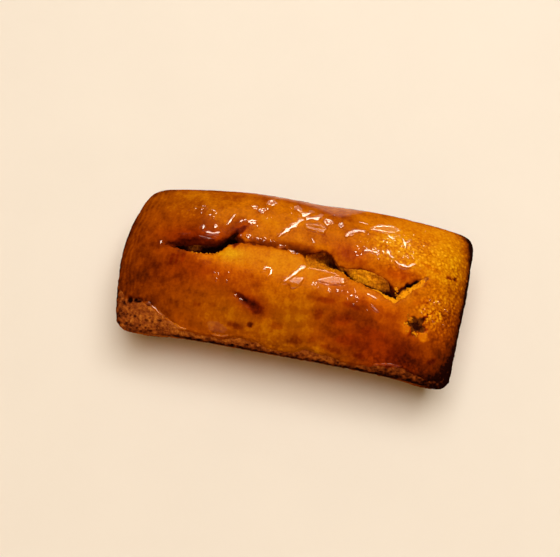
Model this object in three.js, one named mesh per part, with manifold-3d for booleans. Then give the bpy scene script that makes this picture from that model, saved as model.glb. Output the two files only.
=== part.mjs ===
// A financier: a small almond cake baked in a shallow bar tin, with a domed crown that split along its
// length in the oven. Millimetres, +Z up, X along the bar. The origin is the middle of the flat base.
import * as THREE from "three";
import { mergeVertices } from "three/addons/utils/BufferGeometryUtils.js";
import Module from "manifold-3d";

// Driving dimensions, in millimetres
const BAR_LENGTH = 98; // overall, at the rim
const BAR_WIDTH = 50.1; // overall, at the rim
const WALL_HEIGHT = 14; // from the base to the rim
const CROWN_RISE = 8.7; // dome above the rim, before its swells
const DRAFT = 3.8; // how far the base lies inside the rim, all round
const BASE_EDGE_RADIUS = 2.4;
const LEFT_CORNER_RADIUS = 3.8;
const RIGHT_CORNER_RADIUS = 3.4;
const BULGE = { left: 3.7, right: 0.3, far: 4.2 }; // how far these sides swell at their middle
const FAR_DENT = { x: 3, depth: 1, reach: 11 }; // where the far side sank in again as it cooled
const NEAR_SINK = { rim: 1.7, foot: 3, square: 4 }; // how far the near side shrank in between its corners
const RIGHT_SLANT = 1.35; // how far the right end leans from square, to each side
const CORNER_SHARE = 0.87; // how much of the slant reaches the rounded corner
const RIGHT_SPREAD = 0.5; // how much wider the right end is than the middle, to each side
const BASE_BULGE_SHARE = 0.35; // share of the bulges that is left at the base
const BULGE_EDGE = 3; // how closely the bulges keep to the rim
const WALL_WAVER = 0.11; // unevenness of the baked wall, for each of its waves

// Slow waves of the wall: how far along each axis a wave runs in one radian of its turn
const WALL_WAVES = [
  { x: 6.1, y: Infinity, z: 5 },
  { x: Infinity, y: 4.3, z: -3.7 },
  { x: 9.7, y: -9.7, z: Infinity },
];

// The crown's curve towards each rim: how flat it stays, and how roundly it drops at the shoulder
const DOME = {
  across: { flat: 2.5, drop: 0.62 },
  left: { flat: 3.6, drop: 0.7 },
  right: { flat: 7, drop: 0.9 },
};

// Broad swells and dents of the crown: centre, height, reach along and across the bar, turn in degrees
const SWELLS = [
  { x: 1, y: 13.7, rise: 1.2, along: 15, across: 6, turn: -4 }, // far half, lifted over the split
  { x: 24, y: 8.7, rise: 1.1, along: 9, across: 6, turn: -14 }, // far half, right of the middle
  { x: 7, y: -7.3, rise: 0.8, along: 15, across: 5, turn: -10 }, // near half
  { x: -26, y: 6.7, rise: 0.9, along: 7, across: 3.5, turn: 6 }, // lip over the left hollow
  { x: -12, y: 11.7, rise: -0.5, along: 7, across: 7, turn: 0 },
  { x: -38, y: 14.7, rise: -0.7, along: 10, across: 8, turn: 20 },
];
const SWELL_FADE = 0.33; // share of the dome's height over which the swells die out towards the rim

// The split, from left to right: its near and far lips, where its foot lies between them, and its depth
const SPLIT = [
  { x: -38, near: 1, far: 1.8, foot: 0.5, depth: 0.6 },
  { x: -34.5, near: 0.4, far: 3.5, foot: 0.3, depth: 2.4 },
  { x: -30, near: -0.3, far: 4.2, foot: 0.2, depth: 4.6 },
  { x: -25, near: -0.7, far: 3.8, foot: 0.18, depth: 5 },
  { x: -21.5, near: 0, far: 4.5, foot: 0.2, depth: 5 },
  { x: -18.6, near: 2.9, far: 6.5, foot: 0.35, depth: 4.2 },
  { x: -15.5, near: 4, far: 5.8, foot: 0.4, depth: 1.6 },
  { x: -10, near: 4.2, far: 5.8, foot: 0.3, depth: 1.3 },
  { x: -3, near: 4, far: 5.7, foot: 0.3, depth: 1.3 },
  { x: 1.5, near: 3.2, far: 5.4, foot: 0.6, depth: 2 },
  { x: 4.5, near: 0.6, far: 5.2, foot: 0.75, depth: 3.8 },
  { x: 7.5, near: 0.6, far: 6.5, foot: 0.78, depth: 6 },
  { x: 10, near: 0.9, far: 4.8, foot: 0.75, depth: 6.2 },
  { x: 12.5, near: 0.7, far: 2.1, foot: 0.5, depth: 5 },
  { x: 14.5, near: 0, far: 1.8, foot: 0.2, depth: 4.2 },
  { x: 17, near: -1.6, far: 2.6, foot: 0.1, depth: 3.6 },
  { x: 20.5, near: -2.3, far: 2.6, foot: 0.1, depth: 3.2 },
  { x: 24, near: -3.2, far: 1.4, foot: 0.1, depth: 3.2 },
  { x: 27, near: -4.2, far: -0.2, foot: 0.12, depth: 3.4 },
  { x: 28.6, near: -4.9, far: -2, foot: 0.3, depth: 3.4 },
  { x: 30.2, near: -2, far: 0, foot: 0.4, depth: 3 },
  { x: 33.5, near: 0.8, far: 2.2, foot: 0.5, depth: 2 },
  { x: 37, near: 3.6, far: 4.1, foot: 0.5, depth: 0.6 },
];
const SPLIT_STEPS = 100;
const SPLIT_RAGGEDNESS = 0.22; // how far the torn lips wander
const RAGGED_DEPTH = 3; // depth from which they wander fully
const SPLIT_LEAST = 0.25; // narrowest opening
const SPLIT_CLEARANCE = 6; // how far the cutter stands above the crown
const SPLIT_FLARE = 0.3; // how much wider the cutter is at its top than at each lip

// The split's walls: share of the way from near lip to foot, or from foot to far lip, and of the depth
const NEAR_WALL = [
  { across: 0, down: 0.08 },
  { across: 0.5, down: 0.4 },
];
const FAR_FACE = [
  { across: 0.35, down: 0.64 },
  { across: 0.75, down: 0.3 },
  { across: 1, down: 0.04 },
];

// Steam hollow under the far lip, side branch of the split, and star-shaped tear near the right end
const HOLLOW = { x: 9.9, y: 4.3, z: 19, along: 3.6, across: 1.6, up: 2.4, turn: -52 };
const HOLLOW_SIDES = { round: 14, tall: 9 };
const BRANCH = { x: -17.9, y: 6.6, reach: 3.9, width: 0.9, depth: 3, turns: [50] };
const TEAR = { x: 35.5, y: -10.7, reach: 4.8, width: 1.3, depth: 3, turns: [66, 133, 168] };

// Mesh fineness
const SIDE_POINTS = { long: 40, end: 18, corner: 5 };
const EDGE_STEPS = 4;
const WALL_STEPS = 4;
const CROWN_STEPS = 17;
const MERGE_DISTANCE = 1e-4;

const wasm = await Module();
wasm.setup();

/** A repeatable value from -1 to 1 for a whole number. */
function scatter(index) {
  return 2 * THREE.MathUtils.seededRandom(index) - 1;
}

// The rim seen from above, before its sides bulge: how far it lies from the middle of the bar
const HALF_TURN = Math.PI;
const QUARTER_TURN = HALF_TURN / 2;
const RIM = {
  left: BAR_LENGTH / 2 - BULGE.left,
  right: BAR_LENGTH / 2 - RIGHT_SLANT * CORNER_SHARE, // the slant pushes the far right corner out again
  near: BAR_WIDTH / 2,
  far: BAR_WIDTH / 2 - BULGE.far,
};

/** Points round the unbulged rim: a rectangle with rounded corners. */
function rimOutline() {
  const corners = [
    { x: RIM.right, y: -RIM.near, radius: RIGHT_CORNER_RADIUS },
    { x: RIM.right, y: RIM.far, radius: RIGHT_CORNER_RADIUS },
    { x: -RIM.left, y: RIM.far, radius: LEFT_CORNER_RADIUS },
    { x: -RIM.left, y: -RIM.near, radius: LEFT_CORNER_RADIUS },
  ];
  const rim = new THREE.Path();
  corners.forEach(({ x, y, radius }, index) => {
    const start = (index - 1) * QUARTER_TURN;
    const middle = { x: x - Math.sign(x) * radius, y: y - Math.sign(y) * radius };
    rim.absarc(middle.x, middle.y, radius, start, start + QUARTER_TURN);
  });
  rim.closePath();
  const counts = [SIDE_POINTS.corner, SIDE_POINTS.end, SIDE_POINTS.corner, SIDE_POINTS.long];
  return rim.curves.flatMap((side, index) => side.getPoints(counts[index % counts.length]).slice(0, -1));
}

const OUTLINE = rimOutline();

/** Where a point lies between the middle of the bar (0) and its ends or sides (-1 and 1). */
function shares(x, y) {
  return {
    u: THREE.MathUtils.clamp(x / (x < 0 ? RIM.left : RIM.right), -1, 1),
    v: THREE.MathUtils.clamp(y / (y < 0 ? RIM.near : RIM.far), -1, 1),
  };
}

/** Moves a point of the rectangle to the bulged and sunken sides and the slanted right end of the bar. */
function risen(x, y, heightShare) {
  const { lerp } = THREE.MathUtils;
  const { u, v } = shares(x, y);
  const share = lerp(BASE_BULGE_SHARE, 1, heightShare);
  const endReach = share * (1 - v * v) * Math.abs(u) ** BULGE_EDGE;
  const dent = FAR_DENT.depth * Math.exp(-(((x - FAR_DENT.x) / FAR_DENT.reach) ** 2));
  const swell = share * (BULGE.far * (1 - u * u) - dent);
  const sink = lerp(NEAR_SINK.foot, NEAR_SINK.rim, heightShare) * (1 - Math.abs(u) ** NEAR_SINK.square);
  const farther = Math.abs(v) ** BULGE_EDGE * (v < 0 ? sink : swell);
  return new THREE.Vector2(
    x + Math.sign(u) * endReach * (u < 0 ? BULGE.left : BULGE.right) + RIGHT_SLANT * v * Math.max(u, 0),
    y + farther + RIGHT_SPREAD * v * u,
  );
}

/** A curve that is 1 in the middle and drops to 0 at the rim. */
function shoulder(share, { flat, drop }) {
  return Math.max(0, 1 - Math.abs(share) ** flat) ** drop;
}

/** Height of the crown above the base, over a point of the unbulged rectangle. */
function crownHeight(x, y) {
  const { u, v } = shares(x, y);
  const dome = shoulder(v, DOME.across) * shoulder(u, u < 0 ? DOME.left : DOME.right);
  const fade = Math.min(1, dome / SWELL_FADE);
  const swell = SWELLS.reduce((sum, s) => {
    const offset = new THREE.Vector2(x, y).rotateAround(s, -THREE.MathUtils.degToRad(s.turn)).sub(s);
    return sum + s.rise * Math.exp(-((offset.x / s.along) ** 2) - (offset.y / s.across) ** 2);
  }, 0);
  return WALL_HEIGHT + CROWN_RISE * dome + fade * swell;
}

/** A slow wave round the wall, so that it isn't machine-straight. */
function waver(x, y, z) {
  const turns = WALL_WAVES.map((wave) => x / wave.x + y / wave.y + z / wave.z);
  return turns.reduce((sum, turn) => sum + WALL_WAVER * Math.sin(turn), 0);
}

/** One ring of the wall: the rim drawn in by an inset, at a height. */
function wallRing(inset, height) {
  const share = height / WALL_HEIGHT;
  return OUTLINE.map(({ x, y }) => {
    const spot = risen(x, y, share);
    const out = waver(x, y, height) * Math.sin(HALF_TURN * share) - inset;
    return new THREE.Vector3(
      spot.x * (1 + (2 * out) / BAR_LENGTH),
      spot.y * (1 + (2 * out) / BAR_WIDTH),
      height,
    );
  });
}

/** One ring of the crown: the rim drawn towards the bar's long middle line. */
function crownRing(share) {
  const drawn = (1 - share) * (RIM.far / RIM.right);
  return OUTLINE.map((p) => {
    const x = p.x * (1 - drawn);
    const y = p.y * share;
    const spot = risen(x, y, 1);
    return new THREE.Vector3(spot.x, spot.y, crownHeight(x, y));
  });
}

/** A closed surface through rings of equal count, each ring joined to the next. */
function loft(rings, capped) {
  const count = rings[0].length;
  const positions = rings.flat().flatMap((p) => p.toArray());
  const index = [];
  for (let ring = 0; ring + 1 < rings.length; ring++) {
    for (let i = 0; i < count; i++) {
      const a = ring * count + i;
      const b = ring * count + ((i + 1) % count);
      index.push(a, b, b + count, a, b + count, a + count);
    }
  }
  if (capped) {
    const flat = rings[0].map((p) => new THREE.Vector2(p.y, p.z));
    const last = (rings.length - 1) * count;
    for (const [a, b, c] of THREE.ShapeUtils.triangulateShape(flat, [])) {
      index.push(a, c, b, last + a, last + b, last + c);
    }
  }
  const geometry = new THREE.BufferGeometry();
  geometry.setAttribute("position", new THREE.Float32BufferAttribute(positions, 3));
  geometry.setIndex(index);
  return geometry;
}

/** A solid for joining and cutting, from a closed geometry. */
function solid(geometry) {
  const bare = geometry.clone();
  bare.deleteAttribute("normal");
  bare.deleteAttribute("uv");
  const merged = mergeVertices(bare, MERGE_DISTANCE);
  const triangles = [];
  for (let i = 0; i < merged.index.count; i += 3) {
    const corners = [0, 1, 2].map((k) => merged.index.getX(i + k));
    if (new Set(corners).size === 3) triangles.push(...corners);
  }
  return new wasm.Manifold(
    new wasm.Mesh({
      numProp: 3,
      vertProperties: Float32Array.from(merged.attributes.position.array),
      triVerts: Uint32Array.from(triangles),
    }),
  );
}

/** The whole cake before it split: flat base, rounded base edge, drafted wall, domed crown. */
function bakedBar() {
  const rings = [crownRing(0).map((p) => new THREE.Vector3(p.x, p.y, 0))];
  for (let step = 0; step <= EDGE_STEPS; step++) {
    const angle = QUARTER_TURN * (step / EDGE_STEPS);
    const inset = DRAFT + BASE_EDGE_RADIUS * (1 - Math.sin(angle));
    rings.push(wallRing(inset, BASE_EDGE_RADIUS * (1 - Math.cos(angle))));
  }
  for (let step = 1; step < WALL_STEPS; step++) {
    const share = step / WALL_STEPS;
    rings.push(wallRing(DRAFT * (1 - share), THREE.MathUtils.lerp(BASE_EDGE_RADIUS, WALL_HEIGHT, share)));
  }
  for (let step = 0; step <= CROWN_STEPS; step++) {
    rings.push(crownRing(Math.cos(QUARTER_TURN * (step / CROWN_STEPS))));
  }
  return solid(loft(rings, false));
}

/** A section of the split: places across the bar, each with its depth below the crown. */
function splitSection({ near, far, foot, depth }) {
  const { lerp } = THREE.MathUtils;
  const middle = lerp(near, far, foot);
  return [
    [near - SPLIT_FLARE, -SPLIT_CLEARANCE],
    ...NEAR_WALL.map(({ across, down }) => [lerp(near, middle, across), down * depth]),
    [middle, depth],
    ...FAR_FACE.map(({ across, down }) => [lerp(middle, far, across), down * depth]),
    [far + SPLIT_FLARE, -SPLIT_CLEARANCE],
  ];
}

/** The wedge that opens the split: sections across the bar, set along the split's path. */
function splitWedge() {
  const lips = new THREE.CatmullRomCurve3(SPLIT.map((s) => new THREE.Vector3(s.x, s.near, s.far)));
  const foot = new THREE.CatmullRomCurve3(SPLIT.map((s) => new THREE.Vector3(s.x, s.foot, s.depth)));
  const rings = [];
  for (let step = 0; step <= SPLIT_STEPS; step++) {
    const { x, y: nearLip, z: farLip } = lips.getPoint(step / SPLIT_STEPS);
    const { y: share, z: depth } = foot.getPoint(step / SPLIT_STEPS);
    const ragged = SPLIT_RAGGEDNESS * Math.min(1, depth / RAGGED_DEPTH);
    const near = nearLip + ragged * scatter(step);
    const far = Math.max(near + SPLIT_LEAST, farLip + ragged * scatter(step + SPLIT_STEPS + 1));
    const section = splitSection({ near, far, foot: share, depth });
    rings.push(section.map(([y, down]) => new THREE.Vector3(x, y, crownHeight(x, y) - down)));
  }
  return solid(loft(rings, true));
}

/** A hollow left by steam under the far lip. */
function steamHollow() {
  const ball = new THREE.SphereGeometry(1, HOLLOW_SIDES.round, HOLLOW_SIDES.tall);
  ball.scale(HOLLOW.along, HOLLOW.across, HOLLOW.up);
  ball.rotateZ(THREE.MathUtils.degToRad(HOLLOW.turn));
  ball.translate(HOLLOW.x, HOLLOW.y, HOLLOW.z);
  return solid(ball);
}

/** The arms of a small tear: slim blades laid across the crust, each at its own turn. */
function tearArms({ x, y, reach, width, depth, turns }) {
  return turns.map((turn) => {
    const blade = new THREE.OctahedronGeometry(1, 0);
    blade.scale(reach, width, depth);
    blade.rotateZ(THREE.MathUtils.degToRad(turn));
    blade.translate(x, y, crownHeight(x, y));
    return solid(blade);
  });
}

/** The finished cake as one solid, centred over its base. */
function cakeGeometry() {
  const cutters = [splitWedge(), steamHollow(), ...tearArms(BRANCH), ...tearArms(TEAR)];
  const cut = cutters.reduce((cake, cutter) => cake.subtract(cutter), bakedBar());
  const mesh = cut.getMesh();
  const geometry = new THREE.BufferGeometry();
  geometry.setAttribute("position", new THREE.BufferAttribute(mesh.vertProperties, 3));
  geometry.setIndex(new THREE.BufferAttribute(mesh.triVerts, 1));
  geometry.computeBoundingBox();
  const middle = geometry.boundingBox.getCenter(new THREE.Vector3());
  geometry.translate(-middle.x, -middle.y, -geometry.boundingBox.min.z);
  geometry.computeVertexNormals();
  return geometry;
}

const crust = new THREE.MeshStandardMaterial({ color: 0xb0600f, roughness: 0.45, metalness: 0 });
const cake = new THREE.Mesh(cakeGeometry(), crust);
cake.name = "cake";

const financier = new THREE.Group();
financier.name = "financier";
financier.add(cake);

export default financier;
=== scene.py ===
"""A glazed financier on a pale floor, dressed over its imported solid.

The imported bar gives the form. This script gives it a torn crumb in the split, a porous baked wall, a thin
amber glaze with its puddles, runs and bubbles, and a few loose crumbs along the torn edges. Sizes are
millimetres in the frame of the part, and become metres when a piece is made. The lamps and the floor are
given in metres.
"""

import logging
import math
from dataclasses import dataclass, field
from enum import Enum
from typing import ClassVar, NamedTuple

import bmesh
import bpy
import numpy as np
from mathutils import Matrix, Vector, noise
from mathutils.bvhtree import BVHTree


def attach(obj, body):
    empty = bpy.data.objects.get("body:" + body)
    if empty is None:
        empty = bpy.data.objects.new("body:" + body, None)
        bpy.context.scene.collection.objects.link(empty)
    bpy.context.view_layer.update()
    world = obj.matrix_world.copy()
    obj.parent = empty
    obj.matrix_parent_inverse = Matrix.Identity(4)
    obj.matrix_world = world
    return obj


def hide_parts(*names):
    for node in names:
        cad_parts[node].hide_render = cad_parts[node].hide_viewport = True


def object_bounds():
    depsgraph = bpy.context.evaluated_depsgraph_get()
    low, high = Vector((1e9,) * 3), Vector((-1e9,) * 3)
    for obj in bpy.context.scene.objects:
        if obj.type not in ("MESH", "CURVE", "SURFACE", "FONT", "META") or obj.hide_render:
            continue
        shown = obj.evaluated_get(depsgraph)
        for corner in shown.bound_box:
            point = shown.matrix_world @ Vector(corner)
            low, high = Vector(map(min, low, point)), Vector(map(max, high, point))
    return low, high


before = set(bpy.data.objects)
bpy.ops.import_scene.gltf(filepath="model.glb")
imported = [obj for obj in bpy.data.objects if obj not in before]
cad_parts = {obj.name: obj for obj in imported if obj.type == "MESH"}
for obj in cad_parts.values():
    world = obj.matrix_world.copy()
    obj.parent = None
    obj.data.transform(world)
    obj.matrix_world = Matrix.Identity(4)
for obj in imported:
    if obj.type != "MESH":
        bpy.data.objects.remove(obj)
CAD_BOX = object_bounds()

MM = 0.001  # metres in a millimetre
BODY = "root"
CAKE_NODE = "cake"

Axes = tuple[float, float, float]
Colour = tuple[float, float, float]
Faces = list[list[int]]
Range = tuple[float, float]
Stops = tuple[tuple[float, Colour], ...]
Table = tuple[tuple[float, ...], ...]  # in each row a place, then the values there

DOWN = Vector((0.0, 0.0, -1.0))
OVERHEAD = 60.0  # height that rays are dropped from
OFF_CENTRE = 0.48  # how far the crown's middle lies towards the far side
TINY = 1e-9  # keeps a division away from zero

log = logging.getLogger("financier")


def ease(low: float, high: float, value: np.ndarray) -> np.ndarray:
    """Rises smoothly from 0 at low to 1 at high, or falls where high is the lesser."""
    share = np.clip((value - low) / (high - low), 0.0, 1.0)
    return share * share * (3.0 - 2.0 * share)


def around(points: np.ndarray, stops: Table) -> np.ndarray:
    """Looks up a value by the direction from the middle of the cake.

    Args:
        points: Places on the cake.
        stops: Direction in degrees, from -180 to 180 with 0 at the right end, and the value there.

    Returns:
        One value for each point.
    """
    high = np.array(CAD_BOX[1]) / MM
    angle = np.degrees(np.arctan2(points[:, 1] / high[1], points[:, 0] / high[0]))
    return np.interp(angle, *np.array(stops).T)


def lengthwise(points: np.ndarray, stops: Table, column: int = 1) -> np.ndarray:
    """Looks up one column of a table by the place along the bar."""
    table = np.array(stops).T
    return np.interp(points[:, 0], table[0], table[column])


def turned(x: float, y: float, degrees: float, along: np.ndarray,
           across: np.ndarray) -> tuple[np.ndarray, np.ndarray]:
    """Finds places on the plan from distances on turned axes.

    Args:
        x: The middle's place along the bar.
        y: The middle's place across the bar.
        degrees: How far the axes are turned.
        along: Distances from the middle on the first axis.
        across: Distances from the middle on the second axis.

    Returns:
        The places along the bar, and those across it.
    """
    cosine, sine = math.cos(math.radians(degrees)), math.sin(math.radians(degrees))
    return x + along * cosine - across * sine, y + along * sine + across * cosine


def direction(azimuth: float, elevation: float) -> Vector:
    """The way to a place: its azimuth clockwise from the far side and its elevation, in degrees."""
    turn, up = math.radians(azimuth), math.radians(elevation)
    return Vector((math.sin(turn) * math.cos(up), math.cos(turn) * math.cos(up), math.sin(up)))


class Pattern(Enum):
    """Which repeatable pattern an unevenness follows."""

    PLAIN = 0
    PORES = 1
    WALL_LUMPS = 2
    CRUMB_LUMPS = 3
    WALL_MOTTLE = 4
    CRUMB_GRIT = 5
    GLAZE_EDGE = 7
    END_LINES = 8
    SPOT_EDGES = 9
    RIPPLES = 10
    SWELLS = 11


class Grain:
    """Repeatable unevenness, worked out for many points at once."""

    STEP = Vector((17.3, -9.1, 5.7))
    ROUGHNESS = 0.9
    FINER = 2.0
    DRIFT_LAYERS = 2
    DRIFT_SEED = 2
    DRAW_STEP = Vector((12.9, 78.2, 37.7))
    DRAW_SPREAD = 43758.5

    @classmethod
    def places(cls, points: np.ndarray, size: float, pattern: Pattern) -> list[Vector]:
        """Where each point lies in a pattern whose parts have the given size."""
        shift = cls.STEP * pattern.value
        return [Vector(point) / size + shift for point in points]

    @classmethod
    def clouds(cls, points: np.ndarray, size: float, pattern: Pattern, layers: int = 3) -> np.ndarray:
        """Works out soft lumps.

        Args:
            points: Places to work out, one row each.
            size: Width of the largest lumps.
            pattern: Which pattern they follow.
            layers: How many layers of lumps there are, each finer than the last.

        Returns:
            One value for each point, from about -1 to 1.
        """
        places = cls.places(points, size, pattern)
        return np.array([noise.fractal(place, cls.ROUGHNESS, cls.FINER, layers) for place in places])

    @classmethod
    def drift(cls, points: np.ndarray, size: float, pattern: Pattern) -> np.ndarray:
        """Works out a push in some direction at each point.

        Args:
            points: Places to work out, one row each.
            size: Distance over which the push changes.
            pattern: Which pattern it follows.

        Returns:
            One push for each point, up to about 1 long.
        """
        places = cls.places(points, size, pattern)
        noise.seed_set(cls.DRIFT_SEED)
        return np.array([noise.turbulence_vector(place, cls.DRIFT_LAYERS, False) for place in places])

    @classmethod
    def cells(cls, points: np.ndarray, size: float, pattern: Pattern) -> tuple[np.ndarray, np.ndarray]:
        """Works out round cells, such as pores.

        Args:
            points: Places to work out, one row each.
            size: Usual distance from one cell to the next.
            pattern: Which pattern they follow.

        Returns:
            Each point's distance from the middle of its cell, and a value from 0 to 1 for that cell.
        """
        distance = np.empty(len(points))
        draw = np.empty(len(points))
        for index, place in enumerate(cls.places(points, size, pattern)):
            reach, middles = noise.voronoi(place)
            distance[index] = reach[0] * size
            draw[index] = (math.sin(middles[0].dot(cls.DRAW_STEP)) * cls.DRAW_SPREAD) % 1.0
        return distance, draw


@dataclass
class Skin:
    """A surface of four-sided faces, held as arrays."""

    points: np.ndarray
    faces: np.ndarray
    links: np.ndarray = field(init=False)
    degree: np.ndarray = field(init=False)

    def __post_init__(self) -> None:
        """Finds which points are joined by an edge."""
        ahead = np.roll(self.faces, -1, axis=1)
        pairs = np.sort(np.column_stack([self.faces.ravel(), ahead.ravel()]), axis=1)
        self.links = np.unique(pairs, axis=0)
        self.degree = np.maximum(np.bincount(self.links.ravel(), minlength=len(self.points)), 1)

    def averaged(self, values: np.ndarray) -> np.ndarray:
        """Averages a value over each point's neighbours.

        Args:
            values: One value for each point.

        Returns:
            The mean of the neighbours' values, one for each point.
        """
        start, end = self.links.T
        total = np.bincount(start, values[end], len(values)) + np.bincount(end, values[start], len(values))
        return total / self.degree

    def spread(self, values: np.ndarray, rounds: int) -> np.ndarray:
        """Softens a value over the surface.

        Args:
            values: One value for each point.
            rounds: How often each value moves halfway to the mean of its neighbours.

        Returns:
            The softened values.
        """
        for _ in range(rounds):
            values = 0.5 * values + 0.5 * self.averaged(values)
        return values

    def relax(self, rounds: int, weight: np.ndarray) -> None:
        """Evens out the surface where the weight is 1, and leaves it where the weight is 0.

        Args:
            rounds: How often each point moves halfway to the mean of its neighbours.
            weight: One value for each point.
        """
        for _ in range(rounds):
            mean = np.column_stack([self.averaged(axis) for axis in self.points.T])
            self.points = self.points + 0.5 * weight[:, None] * (mean - self.points)

    def normals(self) -> np.ndarray:
        """Finds which way the surface faces.

        Returns:
            The outward direction at each point.
        """
        a, b, c, d = (self.points[self.faces[:, corner]] for corner in range(4))
        flat = np.cross(c - a, d - b)
        total = np.zeros_like(self.points)
        for corner in range(4):
            for axis in range(3):
                total[:, axis] += np.bincount(self.faces[:, corner], flat[:, axis], len(total))
        return total / np.maximum(np.linalg.norm(total, axis=1), TINY)[:, None]


class NodeBench:
    """Builds one node material, with short calls for the nodes that the finishes share."""

    MIDDLE = 0.5  # of a texture's values
    BLOT_LAYERS = 2.0
    MIX_INPUTS = (0, 6, 7)  # the share and the two colours
    MIX_RESULT = 2  # the mixed colour

    def __init__(self, name: str) -> None:
        """Starts a material that has only its surface shader.

        Args:
            name: The material's name.
        """
        self.material = bpy.data.materials.new(name)
        self.material.use_nodes = True
        self.tree = self.material.node_tree
        self.shader = self.tree.nodes["Principled BSDF"]
        self.place = self.add("ShaderNodeTexCoord").outputs["Object"]

    def add(self, kind: str, **settings: object) -> bpy.types.Node:
        """Adds a node.

        Args:
            kind: The node's type.
            settings: Its options by name.

        Returns:
            The new node.
        """
        node = self.tree.nodes.new(kind)
        for option, value in settings.items():
            setattr(node, option, value)
        return node

    def feed(self, socket: bpy.types.NodeSocket, value: object) -> None:
        """Links a socket to another one, or sets its value.

        Args:
            socket: The socket to feed.
            value: Another socket, a colour or a number.
        """
        if isinstance(value, bpy.types.NodeSocket):
            self.tree.links.new(value, socket)
        elif isinstance(value, tuple):
            socket.default_value = (*value, 1.0)
        else:
            socket.default_value = value

    def dress(self, **values: object) -> None:
        """Sets or links the shader's own sockets, by name with _ for a space."""
        for name, value in values.items():
            self.feed(self.shader.inputs[name.replace("_", " ")], value)

    def attribute(self, name: str) -> bpy.types.NodeSocket:
        """A value stored on the mesh."""
        return self.add("ShaderNodeAttribute", attribute_name=name).outputs["Fac"]

    def math(self, operation: str, *values: object) -> bpy.types.NodeSocket:
        """Adds one sum.

        Args:
            operation: What is done to the values.
            values: Two or three values, each a socket or a number.

        Returns:
            The result.
        """
        node = self.add("ShaderNodeMath", operation=operation)
        for socket, value in zip(node.inputs, values):
            self.feed(socket, value)
        return node.outputs[0]

    def layer(self, base: object, amount: object, value: object) -> bpy.types.NodeSocket:
        """Lays an amount of a value over a base."""
        return self.math("MULTIPLY_ADD", value, amount, base)

    def remap(self, value: object, low: float, high: float, start: float,
              end: float) -> bpy.types.NodeSocket:
        """Carries a value from one range to another, held at its ends.

        Args:
            value: The value to carry.
            low: Where its range starts.
            high: Where its range ends.
            start: The result at low.
            end: The result at high.

        Returns:
            The result.
        """
        node = self.add("ShaderNodeMapRange")
        for socket, given in zip(node.inputs, (value, low, high, start, end)):
            self.feed(socket, given)
        return node.outputs[0]

    def clouds(self, size_mm: float, layers: float = 3.0,
               squeeze: Axes = (1.0, 1.0, 1.0)) -> bpy.types.NodeSocket:
        """Adds soft mottling.

        Args:
            size_mm: Size of the largest lumps.
            layers: How many finer layers are added.
            squeeze: How much finer the lumps are along each axis.

        Returns:
            A value from about -0.5 to 0.5.
        """
        squeezed = self.add("ShaderNodeVectorMath", operation="MULTIPLY")
        self.feed(squeezed.inputs[0], self.place)
        squeezed.inputs[1].default_value = squeeze
        node = self.add("ShaderNodeTexNoise")
        self.feed(node.inputs["Vector"], squeezed.outputs[0])
        self.feed(node.inputs["Scale"], 1.0 / (size_mm * MM))
        self.feed(node.inputs["Detail"], layers)
        return self.math("SUBTRACT", node.outputs["Fac"], self.MIDDLE)

    def blots(self, size_mm: float, edge: float) -> bpy.types.NodeSocket:
        """Mottling whose lumps have edges, the harder the less the edge value."""
        soft = self.clouds(size_mm, self.BLOT_LAYERS)
        return self.remap(soft, -edge, edge, -self.MIDDLE, self.MIDDLE)

    def pores(self, size_mm: float) -> bpy.types.NodeSocket:
        """Adds small round cells.

        Args:
            size_mm: Usual distance from one cell to the next.

        Returns:
            Distance from the middle of each cell, in cell widths.
        """
        node = self.add("ShaderNodeTexVoronoi")
        self.feed(node.inputs["Vector"], self.place)
        self.feed(node.inputs["Scale"], 1.0 / (size_mm * MM))
        return node.outputs["Distance"]

    def ramp(self, value: object, stops: Stops) -> bpy.types.NodeSocket:
        """Adds colours along a value.

        Args:
            value: The socket that picks the colour.
            stops: Place and colour of each stop.

        Returns:
            The colour.
        """
        node = self.add("ShaderNodeValToRGB")
        for _ in stops[2:]:
            node.color_ramp.elements.new(self.MIDDLE)
        low, high = stops[0][0], stops[-1][0]
        for element, (place, colour) in zip(node.color_ramp.elements, stops):
            element.position = (place - low) / (high - low)
            element.color = (*colour, 1.0)
        self.feed(node.inputs[0], self.remap(value, low, high, 0.0, 1.0))
        return node.outputs[0]

    def blend(self, share: object, first: object, second: object) -> bpy.types.NodeSocket:
        """Mixes two colours.

        Args:
            share: How much of the second there is, from 0 to 1.
            first: The first colour.
            second: The second colour.

        Returns:
            The mixed colour.
        """
        node = self.add("ShaderNodeMix", data_type="RGBA")
        for index, value in zip(self.MIX_INPUTS, (share, first, second)):
            self.feed(node.inputs[index], value)
        return node.outputs[self.MIX_RESULT]

    def bump(self, height: object, depth_mm: float, strength: float) -> bpy.types.NodeSocket:
        """Adds a fine relief.

        Args:
            height: The relief's height at each place.
            depth_mm: How deep a height of 1 is.
            strength: How much of it shows.

        Returns:
            The normal for the shader.
        """
        node = self.add("ShaderNodeBump")
        self.feed(node.inputs["Strength"], strength)
        self.feed(node.inputs["Distance"], depth_mm * MM)
        self.feed(node.inputs["Height"], height)
        return node.outputs["Normal"]


class GlazeDepth(Enum):
    """How thick the glaze lies, by the roughness of its surface."""

    THIN = 0.16
    THICK = 0.05


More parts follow.
